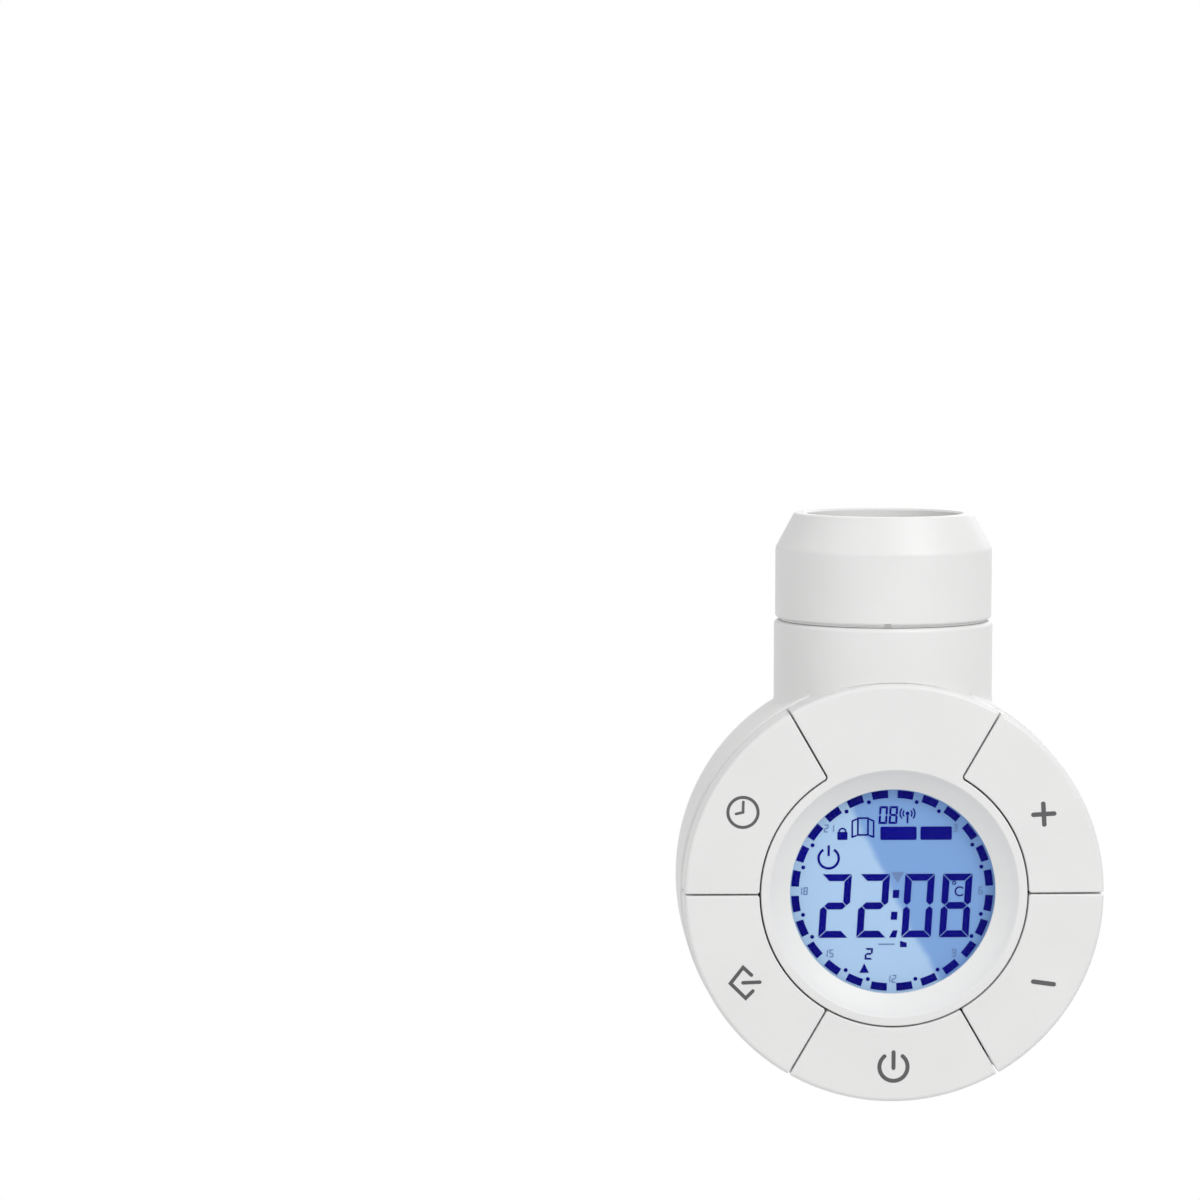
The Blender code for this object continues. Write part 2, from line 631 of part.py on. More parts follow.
# Front bezel: dished ring, fixed top sector and the plate behind the keys
def build_bezel():
    rim = 0.05 * MM
    ring = [
        (RING_RADIUS - 0.35 * MM, rim),
        (RING_RADIUS, 0.4 * MM),
        (RING_RADIUS, RIM),
        (FLANGE_RADIUS - 1.2 * MM, RIM),
        (FLANGE_RADIUS - 1.2 * MM, SHROUD_FRONT),
        (FLANGE_RADIUS, SHROUD_FRONT),
        (FLANGE_RADIUS, FLANGE_BACK),
        (POCKET_RADIUS, FLANGE_BACK),
        (POCKET_RADIUS, LENS_FRONT - FIT),
        (WINDOW_RADIUS, LENS_FRONT - FIT),
        (WINDOW_RADIUS, DISH_DEPTH),
    ]
    for step in range(1, 3):
        share = step / 2
        radius = WINDOW_RADIUS + (DISH_RADIUS - WINDOW_RADIUS) * share
        ring.append((radius, rim + (DISH_DEPTH - rim) * (1 - share) ** 1.25))
    bezel = turned("front_bezel", behind(ring), head, sides=48)
    top = prism(
        "top_sector", sector(DISH_RADIUS + 0.2 * MM, FACE_RADIUS, 0), 0, RIM - FIT,
        head, tools, KEY_ROUND,
    )
    web = prism(
        "top_web", sector(RING_RADIUS, FLANGE_RADIUS - 1 * MM, 2.5 * MM),
        1 * MM, RIM + 1 * MM, head, tools,
    )
    hollow = prism(
        "top_hollow", sector(RING_RADIUS, FLANGE_RADIUS - 1 * MM, 4.2 * MM, steps=6),
        KEY_PLATE, FLANGE_BACK + 1 * MM, head, tools,
    )
    join(bezel, top, web)
    cut(bezel, hollow)
    for name, degrees in KEYS.items():
        at = clock(SWITCH_RADIUS, degrees)
        way = rod("way_" + name, at, 2.1 * MM, RIM - 1 * MM, FLANGE_BACK + 1 * MM, head, tools)
        cut(bezel, way)
        for side in (-14, 14):
            at = clock(BOSS_RADIUS, degrees + side)
            tag = name + ("_left" if side < 0 else "_right")
            guide = rod(
                "guide_" + tag, at, 1.7 * MM,
                RIM - 1 * MM, FLANGE_BACK + 1 * MM, head, tools, 8,
            )
            cut(bezel, guide)
    for degrees in BOSS_ANGLES:
        at = clock(BOSS_RADIUS, degrees)
        tag = str(degrees)
        boss = rod(
            "boss_" + tag, at, 2.4 * MM,
            FLANGE_BACK - 0.8 * MM, BOARD_FRONT - FIT, head, tools, 10,
        )
        hole = rod(
            "boss_hole_" + tag, at, 1.5 * MM,
            FLANGE_BACK + 0.4 * MM, BOARD_BACK, head, tools, 8,
        )
        join(bezel, boss)
        cut(bezel, hole)
    for degrees in HOOK_ANGLES:
        turn = math.radians(degrees)
        tag = str(degrees)
        arm = block(
            "hook_arm_" + tag, clock(FLANGE_RADIUS - 1.0 * MM, degrees), (7 * MM, 1.0 * MM),
            FLANGE_BACK - 0.7 * MM, LEDGE_BACK + 2.1 * MM, head, tools, turn,
        )
        barb = block(
            "hook_barb_" + tag, clock(FLANGE_RADIUS, degrees), (6.4 * MM, 1.8 * MM),
            LEDGE_BACK + 0.4 * MM, LEDGE_BACK + 2.0 * MM, head, tools, turn,
        )
        join(bezel, arm, barb)
    return paint(bezel, WHITE)


# Display stack behind the window
def build_display():
    lens = [(0, LENS_FRONT), (GLASS_RADIUS, LENS_FRONT)]
    lens += [(GLASS_RADIUS, LENS_FRONT + LENS_THICK), (0, LENS_FRONT + LENS_THICK)]
    paint(turned("display_lens", behind(lens), head), (0.75, 0.80, 0.86), 0.05)
    glass = [(0, GLASS_FRONT), (GLASS_RADIUS, GLASS_FRONT)]
    glass += [(GLASS_RADIUS, GLASS_FRONT + GLASS_THICK), (0, GLASS_FRONT + GLASS_THICK)]
    paint(turned("lcd_glass", behind(glass), head), (0.35, 0.55, 0.85), 0.2)
    chord = GLASS_RADIUS - 5.2 * MM
    guide = [(0, GUIDE_FRONT), (HOLDER_BORE - FIT, GUIDE_FRONT)]
    guide += [(HOLDER_BORE - FIT, GUIDE_BACK), (0, GUIDE_BACK)]
    guide = turned("light_guide", behind(guide), head, sides=32)
    strip_room = block(
        "guide_cut", (0, -chord - 5 * MM), (4 * GLASS_RADIUS, 10 * MM),
        GUIDE_FRONT - 1 * MM, GUIDE_BACK + 1 * MM, head, tools,
    )
    cut(guide, strip_room)
    paint(guide, (0.85, 0.88, 0.92), 0.3)
    holder = [
        (HOLDER_BORE, GUIDE_FRONT),
        (GLASS_RADIUS, GUIDE_FRONT),
        (GLASS_RADIUS, BOARD_FRONT - FIT),
        (HOLDER_BORE, BOARD_FRONT - FIT),
        (HOLDER_BORE, GUIDE_BACK + FIT + 1 * MM),
        (HOLDER_BORE - 1.6 * MM, GUIDE_BACK + FIT + 1 * MM),
        (HOLDER_BORE - 1.6 * MM, GUIDE_BACK + FIT),
        (HOLDER_BORE, GUIDE_BACK + FIT),
    ]
    holder = turned("lcd_holder", behind(holder), head, sides=24)
    middle = -chord - 1.2 * MM
    slot = block(
        "strip_slot", (0, middle), (13.2 * MM, 2.4 * MM),
        GUIDE_BACK - 0.5 * MM, GUIDE_BACK + 2 * MM, head, tools,
    )
    cut(holder, slot)
    paint(holder, (0.85, 0.85, 0.85), 0.5)
    strip = block(
        "contact_strip", (0, middle), (12.6 * MM, 1.8 * MM),
        GUIDE_FRONT, BOARD_FRONT - FIT, head,
    )
    paint(strip, (0.35, 0.25, 0.30), 0.7)


# Control board with its switches
def build_control_board():
    outline = [clock(BOARD_RADIUS, 9 * step) for step in range(40)]
    board = prism("control_board", outline, BOARD_FRONT, BOARD_BACK, head)
    for index, degrees in enumerate(BOSS_ANGLES, 1):
        at = clock(BOSS_RADIUS, degrees)
        tag = str(index)
        hole = rod(
            "board_hole_" + tag, at, 1.5 * MM,
            BOARD_FRONT - 1 * MM, BOARD_BACK + 1 * MM, head, tools, 8,
        )
        cut(board, hole)
        screw = rod("board_screw_" + tag, at, 2.2 * MM, BOARD_BACK + FIT, BOARD_BACK + FIT + 1.4 * MM, head)
        shank = rod(
            "board_shank_" + tag, at, 1.2 * MM,
            FLANGE_BACK + 0.7 * MM, BOARD_BACK + FIT + 0.7 * MM, head, tools, 8,
        )
        join(screw, shank)
        paint(screw, STEEL, 0.35, 1.0)
    paint(board, GREEN, 0.4)
    for name, degrees in KEYS.items():
        at = clock(SWITCH_RADIUS, degrees)
        case = block(
            name + "_switch", at, (SWITCH_SIDE, SWITCH_SIDE),
            SWITCH_FRONT, BOARD_FRONT - FIT, head, parts, math.radians(degrees),
        )
        well = rod("well_" + name, at, 2.05 * MM, SWITCH_FRONT - 1 * MM, BOARD_FRONT - 1.0 * MM, head, tools)
        cut(case, well)
        paint(case, BLACK, 0.5)
    soldered = BOARD_BACK + FIT
    at, size = layout(BOARD_RADIUS, PROCESSOR)
    chip = block("processor", at, size, soldered, soldered + CHIP_THICK, head)
    paint(chip, BLACK, 0.5)
    at, size = layout(BOARD_RADIUS, BOARD_PLUG)
    plug = block("board_connector", at, size, soldered, POWER_FRONT - FIT, head)
    paint(plug, BLACK, 0.5)


# Power board with what switches the element
def build_power_board():
    outline = [clock(POWER_RADIUS, 9 * step) for step in range(40)]
    board = prism("power_board", outline, POWER_FRONT, POWER_BACK, head)
    for index, degrees in enumerate(SCREW_ANGLES, 1):
        at = clock(POST_RADIUS, degrees)
        tag = str(index)
        hole = rod(
            "power_hole_" + tag, at, 1.6 * MM,
            POWER_FRONT - 1 * MM, POWER_BACK + 1 * MM, head, tools, 8,
        )
        cut(board, hole)
        screw = rod(
            "power_screw_" + tag, at, 2.4 * MM,
            POWER_FRONT - FIT - 1.5 * MM, POWER_FRONT - FIT, head,
        )
        shank = rod(
            "power_shank_" + tag, at, 1.3 * MM,
            POWER_FRONT - FIT - 0.7 * MM, POST_FRONT + 3.4 * MM, head, tools, 8,
        )
        join(screw, shank)
        paint(screw, STEEL, 0.35, 1.0)
    plug_top = POWER_RADIUS * PLUG_TOP
    notch = block(
        "lead_notch", (0, plug_top + POWER_RADIUS / 2), (2 * LEAD_RADIUS + 4 * FIT, POWER_RADIUS),
        POWER_FRONT - 1 * MM, POWER_BACK + 1 * MM, head, tools,
    )
    cut(board, notch)
    paint(board, GREEN, 0.4)
    back = POWER_BACK + FIT
    deepest = SHELF_FRONT - 1.5 * MM
    for name, (place, colour) in POWER_BLOCKS.items():
        at, size = layout(POWER_RADIUS, place)
        paint(block(name, at, size, back, deepest, head), colour, 0.45)
    for name, (place, end, colour) in POWER_CANS.items():
        at, size = layout(POWER_RADIUS, place)
        can = rod(name, at, size[0] / 2, back, back + (deepest - back) * end, head)
        paint(can, colour, 0.4)
    at, size = layout(POWER_RADIUS, ELEMENT_PLUG)
    plug = block("element_connector", at, size, BOARD_BACK + 1 * MM, POWER_FRONT - FIT, head)
    paint(plug, (0.80, 0.80, 0.76), 0.5)
    lead = rod("element_lead", (0, 0), LEAD_RADIUS, -NUT_END + FIT, HEAD_DROP - plug_top - FIT, swivel)
    paint(lead, (0.65, 0.65, 0.63), 0.6)


# Five sector keys, each with the switch plunger that it pushes
def build_keys():
    middle = (RING_RADIUS + FACE_RADIUS) / 2
    inner = RING_RADIUS + KEY_GAP
    for name, degrees in KEYS.items():
        turn = math.radians(degrees)
        spot = clock(middle, degrees)
        frame = frame_at(name + "_frame", (*spot, 0), (0, 0, -turn), head)

        def shift(outline):
            return [(x, y - middle) for x, y in outline]

        key = prism(
            name + "_key", shift(sector(inner, FACE_RADIUS, 0)), 0, KEY_HEIGHT,
            frame, parts, KEY_ROUND,
        )
        hollow = prism(
            "hollow_" + name, shift(sector(inner, FACE_RADIUS, KEY_WALL)),
            KEY_PLATE, KEY_HEIGHT + 1 * MM, frame, tools,
        )
        under = prism(
            "under_" + name, shift(sector(inner - 3 * MM, FACE_RADIUS - KEY_WALL - 0.1 * MM, 0, 42.0)),
            KEY_SIDE, KEY_HEIGHT + 2 * MM, frame, tools,
        )
        cut(key, hollow, under)
        post = rod(
            "press_" + name, (0, SWITCH_RADIUS - middle), 1.75 * MM,
            KEY_PLATE - 0.6 * MM, PLUNGER_FRONT - FIT, frame, tools,
        )
        join(key, post)
        for side in (-14, 14):
            x, y = clock(BOSS_RADIUS, side)
            tag = name + ("_left" if side < 0 else "_right")
            stem = rod(
                "stem_" + tag, (x, y - middle), 1.4 * MM,
                KEY_PLATE - 0.6 * MM, SWITCH_FRONT + 0.8 * MM, frame, tools, 8,
            )
            barb = rod(
                "barb_" + tag, (x, y - middle), 1.95 * MM,
                SWITCH_FRONT, SWITCH_FRONT + 1.2 * MM, frame, tools, 8,
            )
            join(key, stem, barb)
        paint(key, WHITE)
        plunger = rod(
            name + "_plunger", (0, SWITCH_RADIUS - middle), 1.7 * MM,
            PLUNGER_FRONT, SWITCH_FRONT + 1.0 * MM, frame,
        )
        paint(plunger, (0.35, 0.08, 0.06), 0.5)


build_collar()
build_sleeve()
build_clamp_screw()
build_neck_seal()
build_nut()
build_contacts()
build_housing()
build_rear()
build_bezel()
build_display()
build_control_board()
build_power_board()
build_keys()
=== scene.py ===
import math

import bmesh
import bpy
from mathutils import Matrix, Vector


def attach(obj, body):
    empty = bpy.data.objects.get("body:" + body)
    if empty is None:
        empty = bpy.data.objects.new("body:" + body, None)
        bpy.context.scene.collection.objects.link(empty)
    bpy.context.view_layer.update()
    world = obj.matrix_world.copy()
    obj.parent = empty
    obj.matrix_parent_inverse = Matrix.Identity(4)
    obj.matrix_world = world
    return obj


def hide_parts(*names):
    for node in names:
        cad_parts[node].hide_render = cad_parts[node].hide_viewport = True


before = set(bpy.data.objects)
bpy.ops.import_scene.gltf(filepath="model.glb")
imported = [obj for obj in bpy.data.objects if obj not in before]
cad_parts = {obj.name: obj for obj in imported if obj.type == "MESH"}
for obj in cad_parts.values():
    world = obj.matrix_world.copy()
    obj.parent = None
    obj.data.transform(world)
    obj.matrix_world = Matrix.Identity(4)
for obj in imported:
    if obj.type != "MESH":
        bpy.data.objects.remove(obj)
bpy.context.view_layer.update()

MM = 0.001

# Sizes of the part, in millimetres
FIT = 0.3
COLLAR_TOP_RADIUS = 15.4
COLLAR_RADIUS = 18.5
COLLAR_HEIGHT = 17.9
CONE_HEIGHT = 6.0
CONE_INNER = 14.35
COLLAR_BORE = 16.6
MOUTH_RADIUS = 13.4
MOUTH_LIP = 2.2
RIB_TOP = -13.2
RIB_UNDER = -14.7
BARREL_RADIUS = 14.6
CLAMP_LEVEL = -10.0
CLAMP_HOLE = 2.2
NECK_RADIUS = 18.7
NECK_INNER = 16.7
NECK_BORE = 13.0
NECK_TOP = -18.4
NECK_END = -31.2
PLATE_UNDER = -20.4
NECK_FLARE = 1.2
HEAD_RADIUS = 35.5
HEAD_DEPTH = 42.0
HEAD_DROP = 62.7
FACE_REACH = 20.5
HEAD_WALL = 2.2
REAR_START = 20.0
REAR_INSET = 7.0
RING_RADIUS = 22.3
DISH_RADIUS = 20.9
DISH_DEPTH = 2.6
WINDOW_RADIUS = 17.3
POCKET_RADIUS = 19.3
LENS_FRONT = 3.5
KEY_HEIGHT = 6.5
KEY_PLATE = 1.8
KEY_WALL = 1.4
KEY_SIDE = 3.8
PRESS_RADIUS = 1.75
PRESS_END = 8.8
STEM_RADIUS = 1.4
STEM_END = 10.7
BARB_RADIUS = 1.95
BARB_FRONT = 9.9
BARB_BACK = 11.1
SWITCH_PLACE = 27.0
STEM_PLACE = 28.8
STEM_ANGLES = (-14, 14)
RIM = 7.6
SHROUD_FRONT = 4.9
SHROUD_INNER = 31.8
FLANGE_RADIUS = 33.0
FLANGE_BACK = 9.6
COVER_RADIUS = 25.7
COVER_THICK = 2.2
COVER_FRONT = HEAD_DEPTH - COVER_THICK
SHELF_BACK = HEAD_DEPTH - COVER_THICK - FIT
SHELF_RADIUS = COVER_RADIUS - 3.6
POST_RADIUS = 21.3
SCREW_ANGLES = (45, 135, 225, 315)
SCREW_SINK = 1.3
BUSH_DROP = 15.0
KEYS = {"plus": 60, "minus": 120, "power": 180, "enter": 240, "timer": 300}
SECTOR_HALF = math.radians(30)

# Sizes drawn a little off the solids, as the photograph has them
FACE_RADIUS = 35.2
KEY_GAP = 0.28

# Fine forms that the solids lack
CORNER = 0.45
FACE_ROUND = 0.8
GAP_ROUND = 0.25
CONE_BLEND = 0.8
SEAM_ROUND = 0.5
SEAM_DEPTH = 0.8
SEAM_LIP = 0.4
NOTCH_SPAN = (-1.7, -0.6)
NOTCH_HEIGHT = 0.3
NECK_ROUND = 0.7
NECK_FOOT = 0.15
RIM_ROUND = 0.5
RIM_OVERLAP = 0.02
COVER_ROUND = 0.5

# Depths of the printed marks, and how far those of the display are off its centre
SIGN_DEPTHS = (-0.03, 0.05)
MARK_DEPTHS = (4.91, 4.97)
HOUR_SHIFT = (0.15, -0.2)
FIGURE_SHIFT = (0.4, -0.55)
FIGURE_LEAN = 0.06

# Edges sharper than this, in degrees, stay sharp in the shading
SHARP_ANGLE = 32

# Lights: place, size and power. They all aim at one point.
LIGHT_AIM = (0, -0.01, -0.05)
LIGHTS = {
    "key_light": ((0.34, -0.46, 0.40), 0.4, 2.3),
    "fill_light": ((-0.65, -0.75, 0.3), 0.8, 2.3),
    "back_light": ((0.4, 0.9, 0.5), 0.8, 2.6),
}
AMBIENT = 0.50
CAMERA_PLACE = (-0.0662, -0.600, 0.0334)
CAMERA_YAW = math.radians(1.68)
CAMERA_PITCH = math.radians(-4.604)
CAMERA_LENS = 105.5
SENSOR = 36.0
FLOOR_HALF = 0.8
FLOOR_LEVEL = -0.35


# Materials
def material(name):
    """A new material with its node tree's parts."""
    made = bpy.data.materials.new(name)
    made.use_nodes = True
    nodes = made.node_tree.nodes
    return made, nodes, made.node_tree.links, nodes["Principled BSDF"]


def moulded(name, colour, rough=0.45, grain=0.25, bump=0.06, tint=0.03, metal=0.0, shine=0.5):
    """Moulded or machined stuff: a fine grain in millimetres, cloudy colour and uneven gloss."""
    made, nodes, links, shader = material(name)
    place = nodes.new("ShaderNodeTexCoord")
    fine = nodes.new("ShaderNodeTexNoise")
    fine.inputs["Scale"].default_value = 1000.0 / grain
    fine.inputs["Detail"].default_value = 3.0
    fine.inputs["Roughness"].default_value = 0.6
    cloud = nodes.new("ShaderNodeTexNoise")
    cloud.inputs["Scale"].default_value = 90.0
    cloud.inputs["Detail"].default_value = 4.0
    links.new(place.outputs["Object"], fine.inputs["Vector"])
    links.new(place.outputs["Object"], cloud.inputs["Vector"])
    ramp = nodes.new("ShaderNodeValToRGB")
    ramp.color_ramp.elements[0].position = 0.3
    ramp.color_ramp.elements[1].position = 0.7
    ramp.color_ramp.elements[0].color = tuple(c * (1 - tint) for c in colour) + (1.0,)
    ramp.color_ramp.elements[1].color = tuple(colour) + (1.0,)
    links.new(cloud.outputs["Fac"], ramp.inputs["Fac"])
    links.new(ramp.outputs["Color"], shader.inputs["Base Color"])
    gloss = nodes.new("ShaderNodeMapRange")
    gloss.inputs["To Min"].default_value = rough - 0.05
    gloss.inputs["To Max"].default_value = rough + 0.05
    links.new(fine.outputs["Fac"], gloss.inputs["Value"])
    links.new(gloss.outputs["Result"], shader.inputs["Roughness"])
    relief = nodes.new("ShaderNodeBump")
    relief.inputs["Strength"].default_value = bump
    relief.inputs["Distance"].default_value = 0.0001
    links.new(fine.outputs["Fac"], relief.inputs["Height"])
    links.new(relief.outputs["Normal"], shader.inputs["Normal"])
    shader.inputs["Metallic"].default_value = metal
    shader.inputs["Specular IOR Level"].default_value = shine
    return made


def clear_window(name):
    """Clear sheet: see-through, with a mirror on its front that grows at flat angles."""
    made, nodes, links, shader = material(name)
    nodes.remove(shader)
    clear = nodes.new("ShaderNodeBsdfTransparent")
    clear.inputs["Color"].default_value = (0.985, 0.99, 1.0, 1.0)
    shine = nodes.new("ShaderNodeBsdfGlossy")
    place = nodes.new("ShaderNodeTexCoord")
    smear = nodes.new("ShaderNodeTexNoise")
    smear.inputs["Scale"].default_value = 140.0
    links.new(place.outputs["Object"], smear.inputs["Vector"])
    dull = nodes.new("ShaderNodeMapRange")
    dull.inputs["To Min"].default_value = 0.07
    dull.inputs["To Max"].default_value = 0.17
    links.new(smear.outputs["Fac"], dull.inputs["Value"])
    links.new(dull.outputs["Result"], shine.inputs["Roughness"])
    edge = nodes.new("ShaderNodeFresnel")
    edge.inputs["IOR"].default_value = 1.2
    side = nodes.new("ShaderNodeNewGeometry")
    front = nodes.new("ShaderNodeMath")
    front.operation = "SUBTRACT"
    front.inputs[0].default_value = 1.0
    links.new(side.outputs["Backfacing"], front.inputs[1])
    share = nodes.new("ShaderNodeMath")
    share.operation = "MULTIPLY"
    links.new(edge.outputs["Fac"], share.inputs[0])
    links.new(front.outputs["Value"], share.inputs[1])
    mix = nodes.new("ShaderNodeMixShader")
    links.new(share.outputs["Value"], mix.inputs["Fac"])
    links.new(clear.outputs["BSDF"], mix.inputs[1])
    links.new(shine.outputs["BSDF"], mix.inputs[2])
    links.new(mix.outputs["Shader"], nodes["Material Output"].inputs["Surface"])
    return made


def display_field_painted_glare(name):
    """The ground of the display, made to glow: light blue, deeper blue to the right of a slanted
    edge. The two blues are a painted reflection and the glow is painted light.
    """
    slant = 0.504
    soft = 0.0008
    middle = slant * -HEAD_DROP * MM + 0.0017
    made, nodes, links, shader = material(name)
    place = nodes.new("ShaderNodeTexCoord")
    split = nodes.new("ShaderNodeSeparateXYZ")
    links.new(place.outputs["Object"], split.inputs["Vector"])
    lean = nodes.new("ShaderNodeMath")
    lean.operation = "MULTIPLY_ADD"
    links.new(split.outputs["Z"], lean.inputs[0])
    lean.inputs[1].default_value = slant
    links.new(split.outputs["X"], lean.inputs[2])
    wave = nodes.new("ShaderNodeTexNoise")
    wave.inputs["Scale"].default_value = 160.0
    links.new(place.outputs["Object"], wave.inputs["Vector"])
    sway = nodes.new("ShaderNodeMath")
    sway.operation = "MULTIPLY_ADD"
    links.new(wave.outputs["Fac"], sway.inputs[0])
    sway.inputs[1].default_value = 0.003
    links.new(lean.outputs["Value"], sway.inputs[2])
    # Painted reflection: the light blue and deeper blue split at the slanted edge make a glare
    # painted into the colour.
    ramp = nodes.new("ShaderNodeValToRGB")
    ramp.color_ramp.interpolation = "EASE"
    ramp.color_ramp.elements[0].color = (0.35, 0.51, 0.70, 1.0)
    ramp.color_ramp.elements[1].color = (0.165, 0.31, 0.58, 1.0)
    reach = nodes.new("ShaderNodeMapRange")
    reach.inputs["From Min"].default_value = middle - soft
    reach.inputs["From Max"].default_value = middle + soft
    links.new(sway.outputs["Value"], reach.inputs["Value"])
    links.new(reach.outputs["Result"], ramp.inputs["Fac"])
    links.new(ramp.outputs["Color"], shader.inputs["Base Color"])
    # Painted light: the colour is also emitted, so the field glows in the shaded recess with no
    # lamp behind it.
    links.new(ramp.outputs["Color"], shader.inputs["Emission Color"])
    shader.inputs["Roughness"].default_value = 0.5
    shader.inputs["Emission Strength"].default_value = 0.24
    return made


WHITE = moulded("white_shell", (0.83, 0.83, 0.825), 0.42)
KEY_WHITE = moulded("white_keys", (0.83, 0.83, 0.825), 0.40)
SLEEVE = moulded("sleeve_plastic", (0.72, 0.72, 0.70), 0.5)
DARK = moulded("dark_plastic", (0.035, 0.035, 0.04), 0.5, tint=0.3)
RUBBER = moulded("rubber", (0.03, 0.03, 0.03), 0.75, bump=0.2, tint=0.3)
STEEL = moulded("steel", (0.40, 0.40, 0.41), 0.36, tint=0.15, metal=1.0)
DULL_STEEL = moulded("dull_steel", (0.20, 0.20, 0.21), 0.5, tint=0.2, metal=1.0)
BRASS = moulded("brass", (0.72, 0.53, 0.25), 0.3, tint=0.15, metal=1.0)
INK = moulded("grey_ink", (0.105, 0.105, 0.11), 0.55, tint=0.15)
SEGMENT = moulded("display_segment", (0.003, 0.003, 0.27), 0.6, tint=0.3, shine=0.0)
FAINT = moulded("display_faint", (0.19, 0.29, 0.53), 0.6, tint=0.1, shine=0.0)
# Display ground with a painted reflection (glare) and a painted glow.
PAINTED_GLARE_FIELD = display_field_painted_glare("display_field_painted_glare")
CLEAR = clear_window("clear_window")
BOARD = moulded("board_green", (0.02, 0.15, 0.07), 0.35, tint=0.2)
YELLOW = moulded("component_yellow", (0.62, 0.46, 0.06), 0.4, tint=0.1)
BLUE = moulded("relay_blue", (0.03, 0.09, 0.28), 0.4, tint=0.1)
BROWN = moulded("component_brown", (0.28, 0.15, 0.08), 0.45, tint=0.1)
RED = moulded("plunger_red", (0.35, 0.06, 0.05), 0.45, tint=0.1)
GUIDE = moulded("light_guide", (0.85, 0.88, 0.92), 0.3)
GREY = moulded("lead_grey", (0.55, 0.55, 0.54), 0.6)


# Mesh helpers
def head_point(x, y, depth):
    """A point on the head, from x, y up from the face's centre and the depth behind the face."""
    return Vector((x, depth - FACE_REACH, y - HEAD_DROP)) * MM


def row_point(x, y, z):
    """A point in the part's frame."""
    return Vector((x, y, z)) * MM


def quarter(steps):
    """Sine and cosine from 0 to 90 degrees in equal steps."""
    turns = [math.pi / 2 * step / steps for step in range(steps + 1)]
    return [(math.sin(turn), math.cos(turn)) for turn in turns]


def bridge(shape, loops):
    """Faces between each closed loop of points and the next."""
    for near, far in zip(loops, loops[1:]):
        for step in range(len(near)):
            turn = (step + 1) % len(near)
            shape.faces.new((near[step], near[turn], far[turn], far[step]))


def made_object(name, shape, look):
    bmesh.ops.recalc_face_normals(shape, faces=shape.faces)
    mesh = bpy.data.meshes.new(name)
    shape.to_mesh(mesh)
    shape.free()
    thing = bpy.data.objects.new(name, mesh)
    bpy.context.scene.collection.objects.link(thing)
    if look:
        mesh.materials.append(look)
    return thing


def turned(name, profile, look=None, sides=160, on_head=False, centre=(0, 0)):
    """A closed outline turned about the neck's axis, or the head's, with depths for heights."""
    to_row = head_point if on_head else row_point
    shape = bmesh.new()
    rings = []
    for radius, along in profile:
        ring = []
        for step in range(1 if radius < 1e-6 else sides):
            angle = 2 * math.pi * (step + 0.37) / sides
            x = centre[0] + radius * math.sin(angle)
            y = centre[1] + radius * math.cos(angle)
            ring.append(shape.verts.new(to_row(x, y, along)))
        rings.append(ring * sides if len(ring) == 1 else ring)
    for index, ring in enumerate(rings):
        after = rings[(index + 1) % len(rings)]
        for step in range(sides):
            turn = (step + 1) % sides
            corners = [ring[step], ring[turn], after[turn], after[step]]
            corners = list(dict.fromkeys(corners))
            if len(corners) > 2:
                shape.faces.new(corners)
    return made_object(name, shape, look)


def add_prism(shape, outline, front, back, to_row):
    near = [shape.verts.new(to_row(x, y, front)) for x, y in outline]
    far = [shape.verts.new(to_row(x, y, back)) for x, y in outline]
    shape.faces.new(near)
    shape.faces.new(far)
    bridge(shape, [near, far])


def prism(name, outline, front, back, to_row=head_point):
    """An outline pushed from one depth to another."""
    shape = bmesh.new()
    add_prism(shape, outline, front, back, to_row)
    return made_object(name, shape, None)


def capped(name, outline, radii, back, look):
    """A prism whose front edge is rounded, by a radius given for each point of its outline."""
    count = len(outline)
    area = sum(a[0] * b[1] - b[0] * a[1] for a, b in zip(outline, outline[1:] + outline[:1]))
    way = 1 if area > 0 else -1
    inward = []
    for step in range(count):
        ax, ay = outline[step - 1]
        bx, by = outline[(step + 1) % count]
        length = math.hypot(bx - ax, by - ay)
        inward.append((-way * (by - ay) / length, way * (bx - ax) / length))
    shape = bmesh.new()
    rings = []
    for s, c in quarter(5):
        ring = []
        for (x, y), (nx, ny), radius in zip(outline, inward, radii):
            inset = radius * (1 - s)
            point = head_point(x + nx * inset, y + ny * inset, radius * (1 - c))
            ring.append(shape.verts.new(point))
        rings.append(ring)
    rings.append([shape.verts.new(head_point(x, y, back)) for x, y in outline])
    shape.faces.new(rings[0])
    shape.faces.new(rings[-1])
    bridge(shape, rings)
    return made_object(name, shape, look)


def edge_radii(outline):
    """A wide round along the face's outer edge, easing to a small one along the gaps."""
    radii = []
    for x, y in outline:
        share = min(1.0, max(0.0, 1 - (FACE_RADIUS - math.hypot(x, y)) / FACE_ROUND))
        radii.append(GAP_ROUND + (FACE_ROUND - GAP_ROUND) * share * share)
    return radii


def applied(thing):
    """Bakes an object's modifiers into its mesh."""
    graph = bpy.context.evaluated_depsgraph_get()
    mesh = bpy.data.meshes.new_from_object(thing.evaluated_get(graph))
    old = thing.data
    thing.modifiers.clear()
    thing.data = mesh
    mesh.name = old.name


def boolean(target, tools, operation):
    for tool in tools:
        step = target.modifiers.new("shape", "BOOLEAN")
        step.operation = operation
        step.solver = "EXACT"
        step.object = tool
        applied(target)
        bpy.data.objects.remove(tool)


def cut(target, *tools):
    boolean(target, tools, "DIFFERENCE")


def join(target, *tools):
    boolean(target, tools, "UNION")


